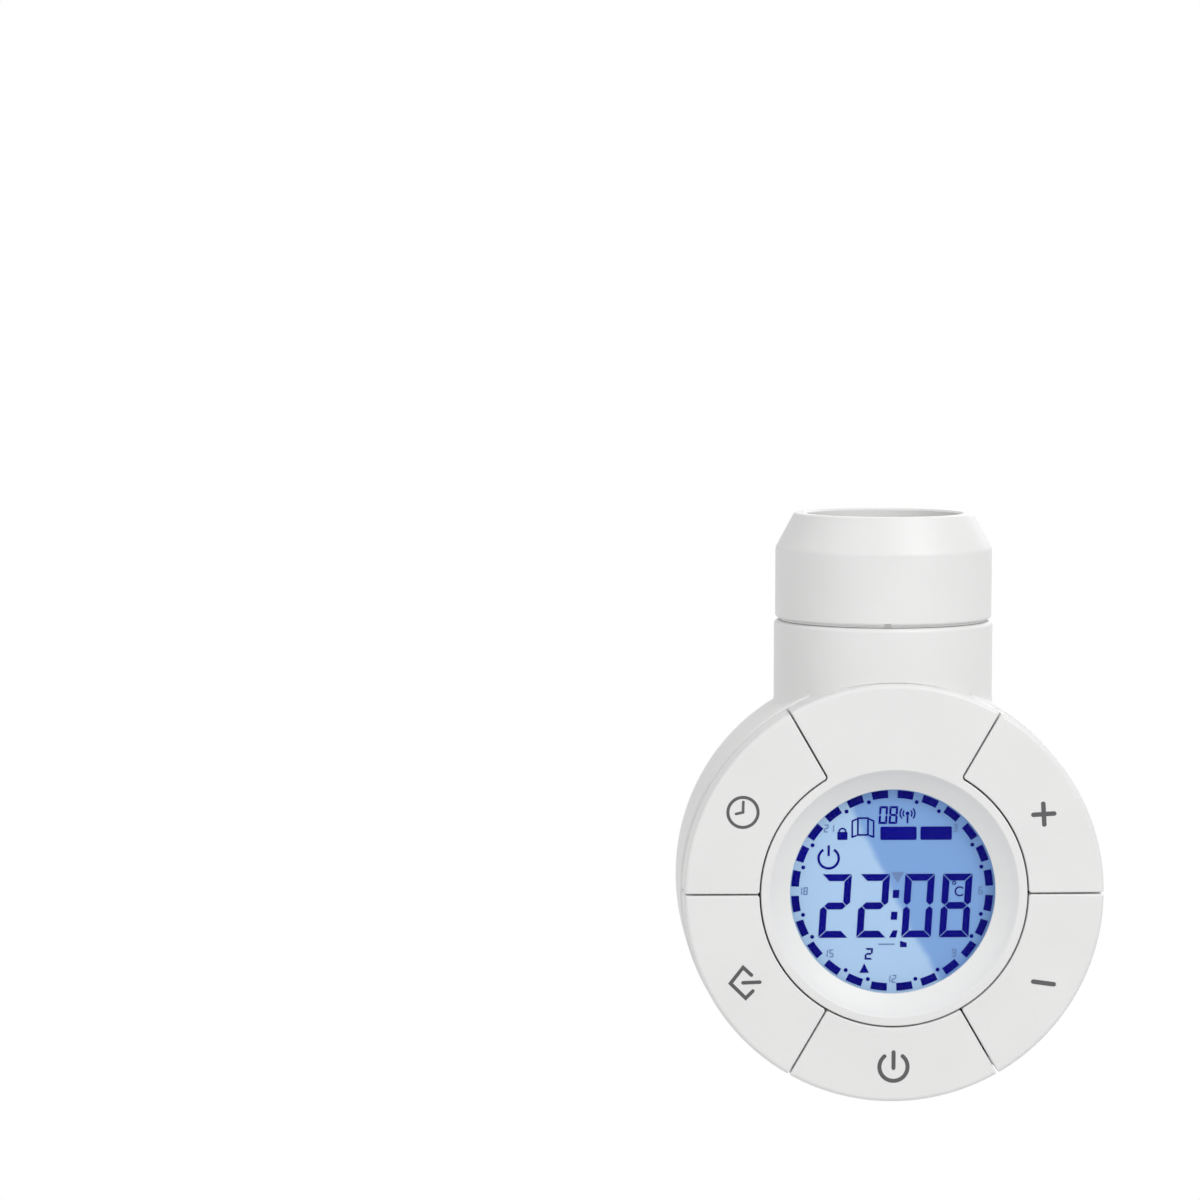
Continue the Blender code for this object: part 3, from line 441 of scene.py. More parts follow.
def dress(thing, body, *nodes, slot):
    """Smooth shading with flat faces kept flat, and the piece's place in the frame."""
    mesh = thing.data
    shape = bmesh.new()
    shape.from_mesh(mesh)
    bmesh.ops.remove_doubles(shape, verts=shape.verts, dist=2e-7)
    for face in shape.faces:
        face.smooth = True
    for edge in shape.edges:
        edge.smooth = edge.calc_face_angle(0.0) < math.radians(SHARP_ANGLE)
    shape.to_mesh(mesh)
    shape.free()
    weigh = thing.modifiers.new("normals", "WEIGHTED_NORMAL")
    weigh.keep_sharp = True
    weigh.weight = 100
    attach(thing, body)
    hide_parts(*nodes)


def arc(cx, cy, radius, start, end, steps):
    """Points on a circle, angles in degrees clockwise from the top."""
    points = []
    for step in range(steps + 1):
        angle = math.radians(start + (end - start) * step / steps)
        points.append((cx + radius * math.sin(angle), cy + radius * math.cos(angle)))
    return points


def half_sector(inner, outer, side, corner):
    """The right half of a face sector from the outer arc to the inner, with filleted corners."""
    ux, uy = math.sin(SECTOR_HALF), math.cos(SECTOR_HALF)
    nx, ny = -math.cos(SECTOR_HALF), math.sin(SECTOR_HALF)
    points = []
    for radius, out in ((outer, -1), (inner, 1)):
        ring = radius + out * corner
        length = math.sqrt(ring ** 2 - (side + corner) ** 2)
        cx = length * ux + (side + corner) * nx
        cy = length * uy + (side + corner) * ny
        reach = math.atan2(cx, cy)
        sweep = []
        away = math.atan2(-out * cx, -out * cy)
        flank = math.atan2(-nx, -ny)
        turn = (flank - away + math.pi) % (2 * math.pi) - math.pi
        for step in range(7):
            angle = away + turn * step / 6
            sweep.append((cx + corner * math.sin(angle), cy + corner * math.cos(angle)))
        curve = []
        for step in range(20):
            angle = reach * step / 20
            curve.append((radius * math.sin(angle), radius * math.cos(angle)))
        points += curve + sweep if out < 0 else (curve + sweep)[::-1]
    return points


def face_sector(inner, outer, inset, degrees, corner):
    """A sector of the face, closed, turned clockwise from the top."""
    right = half_sector(inner + inset, outer - inset, KEY_GAP / 2 + inset, corner)
    left = [(-x, y) for x, y in right[::-1] if abs(x) > 1e-9]
    turn = math.radians(degrees)
    c, s = math.cos(turn), math.sin(turn)
    return [(x * c + y * s, -x * s + y * c) for x, y in right + left]


def clock(radius, degrees):
    """The point at a radius and an angle clockwise from the top of the face."""
    angle = math.radians(degrees)
    return radius * math.sin(angle), radius * math.cos(angle)


def rod(name, at, radius, front, back, sides=32):
    """A round bar along the head's axis between two depths."""
    return prism(name, arc(*at, radius, 0, 360 - 360 / sides, sides - 1), front, back)


# Collar
def collar():
    lean = (COLLAR_RADIUS - COLLAR_TOP_RADIUS) / CONE_HEIGHT
    top = COLLAR_TOP_RADIUS
    profile = [(top - 0.40, 0), (top - 0.12, -0.10), (top + 0.12, -0.42)]
    for step in range(7):
        along = CONE_BLEND * (step / 6 - 0.5)
        ease = max(0.0, CONE_BLEND / 2 - along) ** 2 / (2 * CONE_BLEND)
        profile.append((COLLAR_RADIUS - lean * ease, -CONE_HEIGHT - along))
    for s, c in quarter(6):
        out = COLLAR_RADIUS - SEAM_ROUND * (1 - c)
        profile.append((out, -COLLAR_HEIGHT + SEAM_ROUND * (1 - s)))
    profile += [
        (COLLAR_RADIUS - SEAM_DEPTH, -COLLAR_HEIGHT),
        (COLLAR_RADIUS - SEAM_DEPTH, -COLLAR_HEIGHT - SEAM_LIP),
        (COLLAR_BORE, -COLLAR_HEIGHT - SEAM_LIP),
        (COLLAR_BORE, RIB_UNDER),
        (BARREL_RADIUS + FIT, RIB_UNDER),
        (BARREL_RADIUS + FIT, RIB_TOP),
        (COLLAR_BORE, RIB_TOP),
        (COLLAR_BORE, -CONE_HEIGHT - 0.5),
        (CONE_INNER, -MOUTH_LIP),
        (MOUTH_RADIUS, -MOUTH_LIP),
        (MOUTH_RADIUS, -0.3),
        (MOUTH_RADIUS + 0.3, 0),
    ]
    thing = turned("collar_shell", profile, WHITE, 192)
    left, right = NOTCH_SPAN
    notch = prism(
        "notch", [(left, -19.0), (right, -19.0), (right, -17.4), (left, -17.4)],
        -COLLAR_HEIGHT - 1, -COLLAR_HEIGHT + NOTCH_HEIGHT, row_point,
    )
    hole = prism(
        "hole", arc(0, CLAMP_LEVEL, CLAMP_HOLE, 0, 348.75, 31), 15.0, 25.0,
        lambda x, z, y: row_point(x, y, z),
    )
    cut(thing, notch, hole)
    dress(thing, "coupling", "collar", slot="white_shell")


# Housing: round back and neck
def back_radius(depth):
    """The head's outer radius at a depth behind the face."""
    if depth <= REAR_START:
        return HEAD_RADIUS
    share = min(1.0, (depth - REAR_START) / (HEAD_DEPTH - REAR_START))
    return HEAD_RADIUS - REAR_INSET * (1 - math.sqrt(1 - share * share))


def rounded_back(inset, end, steps):
    """The head's rounded back as (radius, depth) points, from where it starts to a depth."""
    length = HEAD_DEPTH - REAR_START
    last = math.asin((end - REAR_START) / length)
    points = []
    for step in range(steps + 1):
        turn = last * step / steps
        radius = HEAD_RADIUS - REAR_INSET * (1 - math.cos(turn)) - inset
        points.append((radius, REAR_START + length * math.sin(turn)))
    return points


def surface_level(x, depth):
    """The height of the head's top surface above a point."""
    radius = back_radius(depth)
    return -HEAD_DROP + math.sqrt(max(0.0, radius * radius - x * x))


def neck_solid():
    """The neck, its foot spread in a fillet that follows the round back."""
    sides = 192
    wide = NECK_RADIUS + NECK_FLARE
    shape = bmesh.new()
    columns = []
    for index in range(sides):
        angle = 2 * math.pi * (index + 0.5) / sides
        sx, sy = math.sin(angle), -math.cos(angle)
        depth = FACE_REACH + wide * sy
        ease = min(1.0, max(0.0, (depth - RIM - 0.5) / 5.0))
        spread = NECK_FLARE * ease * ease * (3 - 2 * ease)
        foot = surface_level(wide * sx, min(depth, HEAD_DEPTH)) - NECK_FOOT
        column = []
        for s, c in quarter(5):
            out = NECK_RADIUS - NECK_ROUND * (1 - s)
            column.append((out, NECK_TOP - NECK_ROUND * (1 - c)))
        for s, c in quarter(8):
            rise = 1.6 * NECK_FLARE * (1 - s)
            column.append((NECK_RADIUS + spread * (1 - c), foot + rise))
        column.append((NECK_RADIUS - 4, foot - 3))
        columns.append([shape.verts.new(row_point(r * sx, r * sy, z)) for r, z in column])
    for index, column in enumerate(columns):
        after = columns[(index + 1) % sides]
        for step in range(len(column) - 1):
            shape.faces.new((column[step], column[step + 1], after[step + 1], after[step]))
    shape.faces.new([column[0] for column in columns])
    shape.faces.new([column[-1] for column in columns])
    return made_object("neck", shape, None)


def housing():
    outer = [(0, RIM)]
    for s, c in quarter(5):
        outer.append((HEAD_RADIUS - RIM_ROUND * (1 - s), RIM + RIM_ROUND * (1 - c)))
    outer += [(HEAD_RADIUS, 14.0)] + rounded_back(0, HEAD_DEPTH, 24) + [(0, HEAD_DEPTH)]
    thing = turned("housing_shell", outer, WHITE, 224, True)
    join(thing, neck_solid())
    rim = FACE_RADIUS - RIM_OVERLAP
    face_room = [(0, -5), (rim, -5), (rim, RIM), (0, RIM)]
    inner = HEAD_RADIUS - HEAD_WALL
    room = [(0, RIM - 3), (inner, RIM - 3)] + rounded_back(HEAD_WALL, SHELF_BACK - 2, 6)
    room.append((0, SHELF_BACK - 2))
    neck_room = [
        (0, NECK_TOP + 2), (NECK_BORE, NECK_TOP + 2), (NECK_BORE, PLATE_UNDER),
        (NECK_INNER, PLATE_UNDER), (NECK_INNER, NECK_END), (0, NECK_END),
    ]
    rear = [
        (0, SHELF_BACK - 5), (SHELF_RADIUS, SHELF_BACK - 5), (SHELF_RADIUS, SHELF_BACK),
        (COVER_RADIUS + FIT, SHELF_BACK), (COVER_RADIUS + FIT, HEAD_DEPTH + 3), (0, HEAD_DEPTH + 3),
    ]
    cut(
        thing,
        turned("face_room", face_room, None, 224, True),
        turned("room", room, None, 96, True),
        turned("neck_room", neck_room, None, 96),
        turned("rear", rear, None, 128, True),
    )
    dress(thing, "head", "housing", slot="white_shell")


# Face
def hollow_corner():
    """The corner from the top sector's flank to the ring, about the same centre as the key's."""
    nx, ny = -math.cos(SECTOR_HALF), math.sin(SECTOR_HALF)
    reach = CORNER + KEY_GAP
    away = CORNER + KEY_GAP / 2
    length = math.sqrt((RING_RADIUS + reach) ** 2 - away ** 2)
    cx = length * math.sin(SECTOR_HALF) - away * nx
    cy = length * math.cos(SECTOR_HALF) - away * ny
    first = math.atan2(nx, ny)
    turn = (math.atan2(-cx, -cy) - first + math.pi) % (2 * math.pi) - math.pi
    points = []
    for step in range(9):
        angle = first + turn * step / 8
        points.append((cx + reach * math.sin(angle), cy + reach * math.cos(angle)))
    return points


def bezel():
    right = half_sector(RING_RADIUS, FACE_RADIUS, KEY_GAP / 2, CORNER)
    right = [p for p in right if math.hypot(*p) > RING_RADIUS + 1.5] + hollow_corner()
    start = math.degrees(math.atan2(*right[-1]))
    ring = arc(0, 0, RING_RADIUS, start, 360 - start, 180)
    left = [(-x, y) for x, y in right[::-1] if abs(x) > 1e-9]
    outline = right + ring[1:-1] + left
    thing = capped("bezel_face", outline, edge_radii(outline), RIM - FIT, WHITE)
    dish = [
        (0, -2), (DISH_RADIUS + 0.02, -2), (DISH_RADIUS + 0.02, -0.001), (DISH_RADIUS - 0.12, 0.10),
    ]
    for step in range(13):
        share = 1 - step / 12
        radius = WINDOW_RADIUS + 0.15 + (DISH_RADIUS - 0.3 - WINDOW_RADIUS - 0.15) * share
        dish.append((radius, 0.22 + (DISH_DEPTH - 0.3) * (1 - share) ** 0.85))
    dish += [(WINDOW_RADIUS, DISH_DEPTH), (WINDOW_RADIUS, RIM + 2), (0, RIM + 2)]
    pocket = [
        (0, LENS_FRONT - FIT), (POCKET_RADIUS, LENS_FRONT - FIT),
        (POCKET_RADIUS, RIM + 2), (0, RIM + 2),
    ]
    cut(thing, turned("dish", dish, None, 192, True), turned("pocket", pocket, None, 96, True))
    dress(thing, "head", "front_bezel", slot="white_shell")

    plate = [
        (POCKET_RADIUS, RIM + 0.05), (SHROUD_INNER, RIM + 0.05), (SHROUD_INNER, SHROUD_FRONT),
        (FLANGE_RADIUS, SHROUD_FRONT), (FLANGE_RADIUS, FLANGE_BACK), (POCKET_RADIUS, FLANGE_BACK),
    ]
    back = turned("bezel_plate", plate, WHITE, 128, True)
    for degrees in KEYS.values():
        at = clock(SWITCH_PLACE, degrees)
        cut(back, rod("way", at, PRESS_RADIUS + 0.35, RIM - 1, FLANGE_BACK + 1, 20))
        for turn in STEM_ANGLES:
            at = clock(STEM_PLACE, degrees + turn)
            cut(back, rod("guide", at, STEM_RADIUS + FIT, RIM - 1, FLANGE_BACK + 1, 16))
    dress(back, "head", "front_bezel", slot="white_shell")


def key(name, degrees):
    inner = RING_RADIUS + KEY_GAP
    outline = face_sector(inner, FACE_RADIUS, 0, degrees, CORNER)
    thing = capped(name + "_cap", outline, edge_radii(outline), KEY_HEIGHT, KEY_WHITE)
    inside = face_sector(inner, FACE_RADIUS, KEY_WALL, degrees, 0.5)
    hollow = prism("hollow", inside, KEY_PLATE, KEY_HEIGHT + 1)
    below = face_sector(inner - 3, FACE_RADIUS - KEY_WALL - 0.1, -1.0, degrees, 0.3)
    cut(thing, hollow, prism("under", below, KEY_SIDE, KEY_HEIGHT + 2))
    root = KEY_PLATE - 0.5
    join(thing, rod("press", clock(SWITCH_PLACE, degrees), PRESS_RADIUS, root, PRESS_END, 24))
    for turn in STEM_ANGLES:
        at = clock(STEM_PLACE, degrees + turn)
        stem = rod("stem", at, STEM_RADIUS, root, STEM_END, 16)
        join(thing, stem, rod("barb", at, BARB_RADIUS, BARB_FRONT, BARB_BACK, 16))
    dress(thing, name + "_key_body", name + "_key", slot="white_shell")


# Printed signs and display marks as thin plates
class Print:
    """Collects flat shapes and makes them into one thin piece."""

    def __init__(self, front, back):
        self.shape = bmesh.new()
        self.front = front
        self.back = back
        self.shift = (0, 0)

    def shifted(self, outline):
        return [(x + self.shift[0], y + self.shift[1]) for x, y in outline]

    def fill(self, outline):
        add_prism(self.shape, self.shifted(outline), self.front, self.back, head_point)

    def ring(self, cx, cy, inner, outer, start=0.0, end=360.0, steps=40):
        if end - start < 359.9:
            self.fill(arc(cx, cy, outer, start, end, steps) + arc(cx, cy, inner, end, start, steps))
            return
        loops = []
        for radius, depth in (
            (inner, self.front), (outer, self.front), (outer, self.back), (inner, self.back),
        ):
            circle = self.shifted(arc(cx, cy, radius, 0, 360 - 360 / steps, steps - 1))
            loops.append([self.shape.verts.new(head_point(x, y, depth)) for x, y in circle])
        bridge(self.shape, loops + loops[:1])

    def disc(self, cx, cy, radius, steps=20):
        self.fill(arc(cx, cy, radius, 0, 360 - 360 / steps, steps - 1))

    def line(self, ax, ay, bx, by, width):
        dx, dy = bx - ax, by - ay
        length = math.hypot(dx, dy)
        nx, ny = -dy / length * width / 2, dx / length * width / 2
        self.fill([(ax + nx, ay + ny), (bx + nx, by + ny), (bx - nx, by - ny), (ax - nx, ay - ny)])

    def done(self, name, look, body):
        thing = made_object(name, self.shape, look)
        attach(thing, body)


def ribbon(points, width, ends=8):
    """The outline of a bent stroke with round ends."""
    half = width / 2
    ways = []
    for (ax, ay), (bx, by) in zip(points, points[1:]):
        length = math.hypot(bx - ax, by - ay)
        ways.append(((bx - ax) / length, (by - ay) / length))
    left, right = [], []
    for (x, y), (px, py), (qx, qy) in zip(points, ways[:1] + ways, ways + ways[-1:]):
        mx, my = -py - qy, px + qx
        reach = half / (1 + px * qx + py * qy)
        left.append((x + mx * reach, y + my * reach))
        right.append((x - mx * reach, y - my * reach))
    caps = []
    for (x, y), (dx, dy), side in ((points[-1], ways[-1], 1), (points[0], ways[0], -1)):
        cap = []
        for step in range(1, ends):
            turn = math.pi * step / ends
            c, s = side * half * math.cos(turn), side * half * math.sin(turn)
            cap.append((x - dy * c + dx * s, y + dx * c + dy * s))
        caps.append(cap)
    return left + caps[0] + right[::-1] + caps[1]


def cross(cx, cy, reach, width, degrees, ends=8):
    """The outline of a plus sign with round ends."""
    half = width / 2
    outline = []
    for arm in range(4):
        turn = math.radians(degrees + 90 * arm)
        dx, dy = math.cos(turn), math.sin(turn)
        outline.append((cx + half * (dx + dy), cy + half * (dy - dx)))
        for step in range(ends + 1):
            angle = math.pi * step / ends
            c, s = half * math.cos(angle), half * math.sin(angle)
            outline.append((cx + dx * (reach + s) + dy * c, cy + dy * (reach + s) - dx * c))
    return outline


def signs():
    sign = Print(*SIGN_DEPTHS)
    cx, cy = -25.4, 13.9
    sign.ring(cx, cy, 2.26, 2.77, steps=64)
    sign.fill(ribbon([(cx + 0.05, cy + 1.75), (cx, cy), (cx - 1.15, cy - 0.25)], 0.45))
    sign.done("timer_sign", INK, "timer_key_body")

    sign = Print(*SIGN_DEPTHS)
    sign.fill(cross(24.87, 13.4, 1.75, 0.76, 3.5))
    sign.done("plus_sign", INK, "plus_key_body")

    sign = Print(*SIGN_DEPTHS)
    sign.fill(ribbon([(23.37, -14.86), (26.83, -15.34)], 0.76))
    sign.done("minus_sign", INK, "minus_key_body")

    sign = Print(*SIGN_DEPTHS)
    cx, cy = 0, -29.2
    sign.fill(ribbon(arc(cx, cy, 2.365, 40, 320, 56), 0.67))
    sign.fill(ribbon([(cx, cy + 2.5), (cx, cy - 0.2)], 0.67))
    sign.done("power_sign", INK, "power_key_body")

    sign = Print(*SIGN_DEPTHS)
    bracket = [(-23.9, -13.5), (-25.3, -12.2), (-27.4, -14.9), (-24.85, -17.4), (-23.65, -16.2)]
    sign.fill(ribbon(bracket, 0.6))
    sign.fill(ribbon([(-25.3, -14.8), (-22.5, -14.7)], 0.6))
    sign.done("enter_sign", INK, "enter_key_body")


DIGITS = {
    0: "abcdef", 1: "bc", 2: "abged", 3: "abgcd", 4: "fgbc",
    5: "afgcd", 6: "afgedc", 7: "abc", 8: "abcdefg", 9: "abcdfg",
}


def numeral(marks, digit, x0, y0, wide, tall, stroke):
    """A seven-segment figure standing on y0, its bars mitred and a hair apart."""
    gap = 0.09 * stroke
    half = tall / 2
    t = stroke
    low = {
        "d": [(gap, 0), (wide - gap, 0), (wide - t - gap, t), (t + gap, t)],
        "e": [
            (0, gap), (t, t + gap), (t, half - t / 2 - gap), (t / 2, half - gap), (0, half - t / 2),
        ],
        "c": [
            (wide, gap), (wide - t, t + gap), (wide - t, half - t / 2 - gap),
            (wide - t / 2, half - gap), (wide, half - t / 2),
        ],
        "g": [
            (t / 2 + gap, half), (t + gap, half - t / 2), (wide - t - gap, half - t / 2),
            (wide - t / 2 - gap, half), (wide - t - gap, half + t / 2), (t + gap, half + t / 2),
        ],
    }
    for bar, under in (("a", "d"), ("f", "e"), ("b", "c")):
        low[bar] = [(x, tall - y) for x, y in low[under]]
    for bar in DIGITS[digit]:
        marks.fill([(x0 + x + FIGURE_LEAN * y, y0 + y) for x, y in low[bar]])


def leaning_box(marks, x, y, wide, tall, lean):
    lag = lean * tall / 2
    low, high = y - tall / 2, y + tall / 2
    marks.fill([
        (x - wide / 2 - lag, low), (x + wide / 2 - lag, low),
        (x + wide / 2 + lag, high), (x - wide / 2 + lag, high),
    ])


def rounded_box(marks, x, y, wide, tall, corner):
    outline = []
    for sx, sy, start in ((1, 1, 0), (1, -1, 90), (-1, -1, 180), (-1, 1, 270)):
        cx = x + sx * (wide / 2 - corner)
        cy = y + sy * (tall / 2 - corner)
        outline += arc(cx, cy, corner, start, start + 90, 4)
    marks.fill(outline)


def display_icons(marks):
    """The small signs round the time: power, lock, window, aerial, badges and pointers."""
    marks.ring(-11.0, 5.9, 1.5, 1.9, 32, 328)
    marks.line(-11.0, 6.3, -11.0, 8.1, 0.38)
    rounded_box(marks, -8.7, 9.7, 1.7, 1.35, 0.15)
    marks.ring(-8.7, 10.41, 0.42, 0.68, -90, 90, 12)
    window = [
        (-5.23, 9.85), (-6.1, 9.85), (-6.1, 12.7), (-4.4, 12.7), (-4.4, 9.85), (-5.2, 9.85),
    ]
    marks.fill(ribbon(window, 0.28, 1))
    curtain = [(1.03, 12.55), (1.8, 12.2), (1.8, 9.5), (1.03, 9.77)]
    for side in (-1, 1):
        marks.fill(ribbon([(-5.25 + side * x, y) for x, y in curtain], 0.26, 1))
    numeral(marks, 0, -2.65, 11.7, 1.45, 3.0, 0.36)
    numeral(marks, 8, -0.95, 11.7, 1.45, 3.0, 0.36)
    marks.line(2.25, 11.8, 2.25, 13.1, 0.3)
    marks.disc(2.25, 13.45, 0.32, 12)
    for radius in (0.75, 1.25):
        marks.ring(2.25, 13.45, radius - 0.12, radius + 0.12, 48, 132, 10)
        marks.ring(2.25, 13.45, radius - 0.12, radius + 0.12, 228, 312, 10)
    rounded_box(marks, 0.75, 10.1, 6.1, 2.25, 0.25)
    rounded_box(marks, 7.1, 10.1, 5.3, 2.25, 0.25)
    for x, y in ((0.4, -0.2), (0.1, -3.9)):
        leaning_box(marks, x, y, 1.06, 1.36, FIGURE_LEAN)
    marks.fill([(-0.7, -7.6), (0.45, -7.6), (0.7, -6.4), (-0.1, -6.4)])
    marks.ring(10.2, 1.65, 0.18, 0.36, 0, 360, 12)
    marks.ring(11.15, 0.2, 0.62, 0.86, 130, 410, 24)
    marks.fill([(1.15, -8.2), (2.25, -8.5), (2.25, -9.25), (1.15, -9.25)])
    numeral(marks, 2, -4.85, -11.35, 1.3, 1.95, 0.3)
    marks.fill([(-4.9, -12.0), (-4.1, -13.6), (-5.7, -13.6)])


def display():
    marks = Print(*MARK_DEPTHS)
    marks.shift = HOUR_SHIFT
    for index in range(24):
        middle = 7.5 + 15 * index
        outer = arc(0, 0, 17.05, middle - 4.7, middle + 4.7, 6)
        marks.fill(outer + arc(0, 0, 15.75, middle + 4.7, middle - 4.7, 6))
        if index % 3:
            x, y = clock(15.55, 15 * index)
            marks.disc(x, y, 0.34, 12)
    marks.shift = FIGURE_SHIFT
    for digit, place in zip((2, 2, 0, 8), (-12.7, -6.27, 1.32, 7.69)):
        numeral(marks, digit, place, -7.6, 5.0, 10.8, 1.16)
    display_icons(marks)
    marks.done("display_marks", SEGMENT, "head")

    faint = Print(*MARK_DEPTHS)
    faint.shift = FIGURE_SHIFT
    faint.fill([(-0.4, 3.5), (1.75, 3.5), (0.7, 1.7)])
    faint.line(-2.5, -8.75, 0.2, -8.75, 0.2)
    faint.shift = HOUR_SHIFT
    for index in range(1, 8):
        x, y = clock(15.0, 45 * index)
        figures = [int(figure) for figure in str(3 * index)]
        start = x - 0.48 * len(figures)
        for step, figure in enumerate(figures):
            numeral(faint, figure, start + 0.96 * step, y - 0.65, 0.72, 1.3, 0.17)
    faint.done("display_hours", FAINT, "head")


# Back of the head
def rear():
    cover = [(0, COVER_FRONT), (COVER_RADIUS, COVER_FRONT)]
    for s, c in quarter(5):
        cover.append((COVER_RADIUS - COVER_ROUND * (1 - c), HEAD_DEPTH - COVER_ROUND * (1 - s)))
    cover.append((0, HEAD_DEPTH))
    thing = turned("rear_plate", cover, WHITE, 160, True)
    for degrees in SCREW_ANGLES:
        at = clock(POST_RADIUS, degrees)
        cut(thing, rod("sink", at, 2.9, HEAD_DEPTH - SCREW_SINK, HEAD_DEPTH + 1, 40))
        cut(thing, rod("hole", at, 1.6, COVER_FRONT - 1, HEAD_DEPTH - 1, 24))
    cut(thing, rod("way", (0, -BUSH_DROP), 5.0, COVER_FRONT - 1, HEAD_DEPTH + 1, 48))
    dress(thing, "head", "rear_cover", slot="white_shell")

    outside = HEAD_DEPTH + FIT
    bush = [
        (3.6, COVER_FRONT - 2.8), (5.6, COVER_FRONT - 2.8), (6.0, COVER_FRONT - 1.4),
        (6.0, COVER_FRONT - FIT), (4.7, COVER_FRONT - FIT), (4.7, outside), (6.7, outside),
        (6.8, outside + 0.1), (6.8, outside + 0.9), (6.65, outside + 1.2), (6.4, outside + 1.42),
        (6.05, outside + 1.55), (5.6, outside + 1.6), (5.3, outside + 1.35), (5.0, outside + 1.35),
        (4.7, outside + 1.6), (4.1, outside + 1.6), (3.75, outside + 1.45), (3.6, outside + 1.1),
    ]
    piece = turned("cable_grommet", bush, DARK, 72, True, (0, -BUSH_DROP))
    dress(piece, "head", "cable_bush", slot="dark_plastic")

    seat = HEAD_DEPTH - SCREW_SINK + FIT
    top = HEAD_DEPTH - 0.1
    profile = [
        (0, seat - 8), (1.3, seat - 8), (1.3, seat), (2.6, seat),
        (2.6, top - 0.35), (2.5, top - 0.12), (2.25, top), (0, top),
    ]
    for index, degrees in enumerate(SCREW_ANGLES, 1):
        at = clock(POST_RADIUS, degrees)
        screw = turned("rear_fixing_%d" % index, profile, STEEL, 40, True, at)
        turn = math.radians(degrees)
        c, s = math.cos(turn), math.sin(turn)
        for wide, tall in ((3.4, 0.7), (0.7, 3.4)):
            corners = [(-wide, -tall), (wide, -tall), (wide, tall), (-wide, tall)]
            slit = [(at[0] + (x * c + y * s) / 2, at[1] + (y * c - x * s) / 2) for x, y in corners]
            cut(screw, prism("slot", slit, top - 0.6, top + 1))
        dress(screw, "head", "rear_screw_%d" % index, slot="steel")


collar()
housing()
bezel()
for key_name, key_angle in KEYS.items():
    key(key_name, key_angle)
signs()
display()
rear()


# Pieces that keep their solid, with a better finish
LOOKS = {
    "coupling_sleeve": SLEEVE, "lcd_holder": SLEEVE, "element_connector": SLEEVE,
    "neck_seal": RUBBER, "rear_seal": RUBBER, "contact_strip": RUBBER,
    "retaining_nut": DARK, "contact_block": DARK, "processor": DARK, "board_connector": DARK,
    # The display glass takes the ground with its painted reflection and painted glow.
    "display_lens": CLEAR, "lcd_glass": PAINTED_GLARE_FIELD, "light_guide": GUIDE, "control_board": BOARD,
    "power_board": BOARD, "terminal_block": BOARD, "relay": BLUE, "transformer": YELLOW,
    "mains_capacitor": YELLOW, "fuse": BROWN, "smoothing_capacitor": DARK, "element_lead": GREY,
    "clamp_screw": DULL_STEEL,
}
for node_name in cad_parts:
    if node_name.startswith(("board_screw", "power_screw")):
        LOOKS[node_name] = STEEL
    elif node_name.startswith("contact_pin"):
        LOOKS[node_name] = BRASS
    elif node_name.endswith("_switch"):
        LOOKS[node_name] = DARK
    elif node_name.endswith("_plunger"):
        LOOKS[node_name] = RED


def smooth_by_angle():
    """Nodes that shade a mesh smooth, apart from its sharp edges."""
    group = bpy.data.node_groups.new("smooth_by_angle", "GeometryNodeTree")
    group.interface.new_socket("Geometry", in_out="INPUT", socket_type="NodeSocketGeometry")
    group.interface.new_socket("Geometry", in_out="OUTPUT", socket_type="NodeSocketGeometry")
    start = group.nodes.new("NodeGroupInput")
    end = group.nodes.new("NodeGroupOutput")
    faces = group.nodes.new("GeometryNodeSetShadeSmooth")
    faces.domain = "FACE"
    edges = group.nodes.new("GeometryNodeSetShadeSmooth")
    edges.domain = "EDGE"
    edges.inputs["Shade Smooth"].default_value = False
    angle = group.nodes.new("GeometryNodeInputMeshEdgeAngle")
    sharp = group.nodes.new("FunctionNodeCompare")
    sharp.operation = "GREATER_THAN"
    sharp.inputs["B"].default_value = math.radians(SHARP_ANGLE)
    group.links.new(start.outputs[0], faces.inputs["Geometry"])
    group.links.new(faces.outputs["Geometry"], edges.inputs["Geometry"])
    group.links.new(angle.outputs["Unsigned Angle"], sharp.inputs["A"])
    group.links.new(sharp.outputs["Result"], edges.inputs["Selection"])
    group.links.new(edges.outputs["Geometry"], end.inputs[0])
    return group


SMOOTH = smooth_by_angle()
for node_name, look in LOOKS.items():
    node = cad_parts[node_name]
    node.data.materials.clear()
    node.data.materials.append(look)
    weld = node.modifiers.new("weld", "WELD")
    weld.merge_threshold = 1e-6
    node.modifiers.new("smooth", "NODES").node_group = SMOOTH
    normals = node.modifiers.new("normals", "WEIGHTED_NORMAL")
    normals.keep_sharp = True
    normals.weight = 100


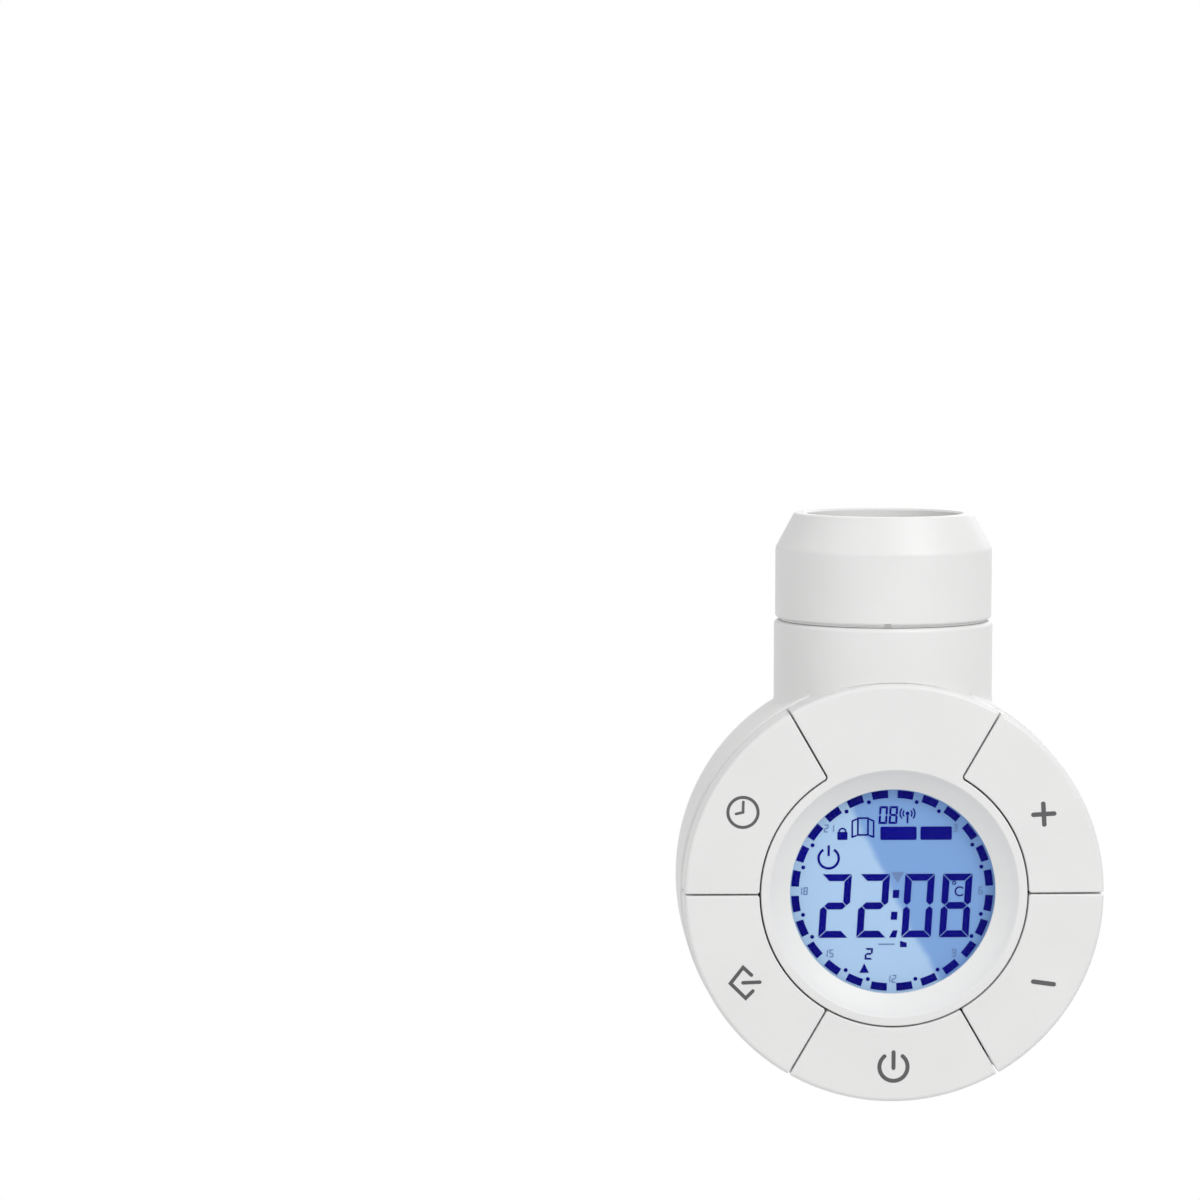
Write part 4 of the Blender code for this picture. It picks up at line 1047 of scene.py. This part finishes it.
# Floor, surroundings, lights and camera
def pale_ground(name):
    """Pale ground that the camera sees as nearly white, still taking the object's shadow."""
    made, nodes, links, shader = material(name)
    shader.inputs["Roughness"].default_value = 0.9
    cloud = nodes.new("ShaderNodeTexNoise")
    cloud.inputs["Scale"].default_value = 3.0
    tone = nodes.new("ShaderNodeValToRGB")
    tone.color_ramp.elements[0].color = (0.87, 0.87, 0.87, 1.0)
    tone.color_ramp.elements[1].color = (0.90, 0.90, 0.90, 1.0)
    links.new(cloud.outputs["Fac"], tone.inputs["Fac"])
    links.new(tone.outputs["Color"], shader.inputs["Base Color"])
    glow = nodes.new("ShaderNodeEmission")
    glow.inputs["Color"].default_value = (1.0, 1.0, 1.0, 1.0)
    glow.inputs["Strength"].default_value = 1.0
    path = nodes.new("ShaderNodeLightPath")
    share = nodes.new("ShaderNodeMath")
    share.operation = "MULTIPLY"
    share.inputs[1].default_value = 0.85
    seen = nodes.new("ShaderNodeMath")
    seen.operation = "MAXIMUM"
    links.new(path.outputs["Is Camera Ray"], seen.inputs[0])
    links.new(path.outputs["Is Glossy Ray"], seen.inputs[1])
    links.new(seen.outputs["Value"], share.inputs[0])
    mix = nodes.new("ShaderNodeMixShader")
    links.new(share.outputs["Value"], mix.inputs["Fac"])
    links.new(shader.outputs["BSDF"], mix.inputs[1])
    links.new(glow.outputs["Emission"], mix.inputs[2])
    links.new(mix.outputs["Shader"], nodes["Material Output"].inputs["Surface"])
    return made


def stage():
    shape = bmesh.new()
    bmesh.ops.create_grid(shape, x_segments=1, y_segments=1, size=FLOOR_HALF)
    floor = made_object("floor", shape, pale_ground("floor_pale"))
    floor.location = (0, 0, FLOOR_LEVEL)

    world = bpy.data.worlds.new("studio")
    bpy.context.scene.world = world
    world.use_nodes = True
    nodes = world.node_tree.nodes
    links = world.node_tree.links
    ground = nodes["Background"]
    ground.inputs["Color"].default_value = (1.0, 1.0, 1.0, 1.0)
    ground.inputs["Strength"].default_value = AMBIENT
    seen = nodes.new("ShaderNodeBackground")
    seen.inputs["Color"].default_value = (1.0, 1.0, 1.0, 1.0)
    seen.inputs["Strength"].default_value = 1.0
    path = nodes.new("ShaderNodeLightPath")
    mix = nodes.new("ShaderNodeMixShader")
    either = nodes.new("ShaderNodeMath")
    either.operation = "MAXIMUM"
    links.new(path.outputs["Is Camera Ray"], either.inputs[0])
    more = nodes.new("ShaderNodeMath")
    more.operation = "MAXIMUM"
    links.new(path.outputs["Is Glossy Ray"], more.inputs[0])
    links.new(path.outputs["Is Transmission Ray"], more.inputs[1])
    links.new(more.outputs["Value"], either.inputs[1])
    links.new(either.outputs["Value"], mix.inputs["Fac"])
    links.new(ground.outputs["Background"], mix.inputs[1])
    links.new(seen.outputs["Background"], mix.inputs[2])
    links.new(mix.outputs["Shader"], nodes["World Output"].inputs["Surface"])

    aim = Vector(LIGHT_AIM)
    for name, (place, size, power) in LIGHTS.items():
        lamp = bpy.data.lights.new(name, "AREA")
        lamp.size = size
        lamp.energy = power
        thing = bpy.data.objects.new(name, lamp)
        thing.location = place
        thing.rotation_euler = (aim - Vector(place)).to_track_quat("-Z", "Y").to_euler()
        bpy.context.scene.collection.objects.link(thing)

    view = bpy.data.cameras.new("camera")
    view.sensor_width = SENSOR
    view.sensor_height = SENSOR
    view.sensor_fit = "HORIZONTAL"
    view.lens = CAMERA_LENS
    view.clip_start = 0.01
    thing = bpy.data.objects.new("camera", view)
    thing.location = CAMERA_PLACE
    level = math.cos(CAMERA_PITCH)
    forward = Vector((
        math.sin(CAMERA_YAW) * level, math.cos(CAMERA_YAW) * level, math.sin(CAMERA_PITCH),
    ))
    thing.rotation_euler = forward.to_track_quat("-Z", "Y").to_euler()
    bpy.context.scene.collection.objects.link(thing)
    bpy.context.scene.camera = thing
    bpy.context.scene.view_settings.view_transform = "Standard"


stage()
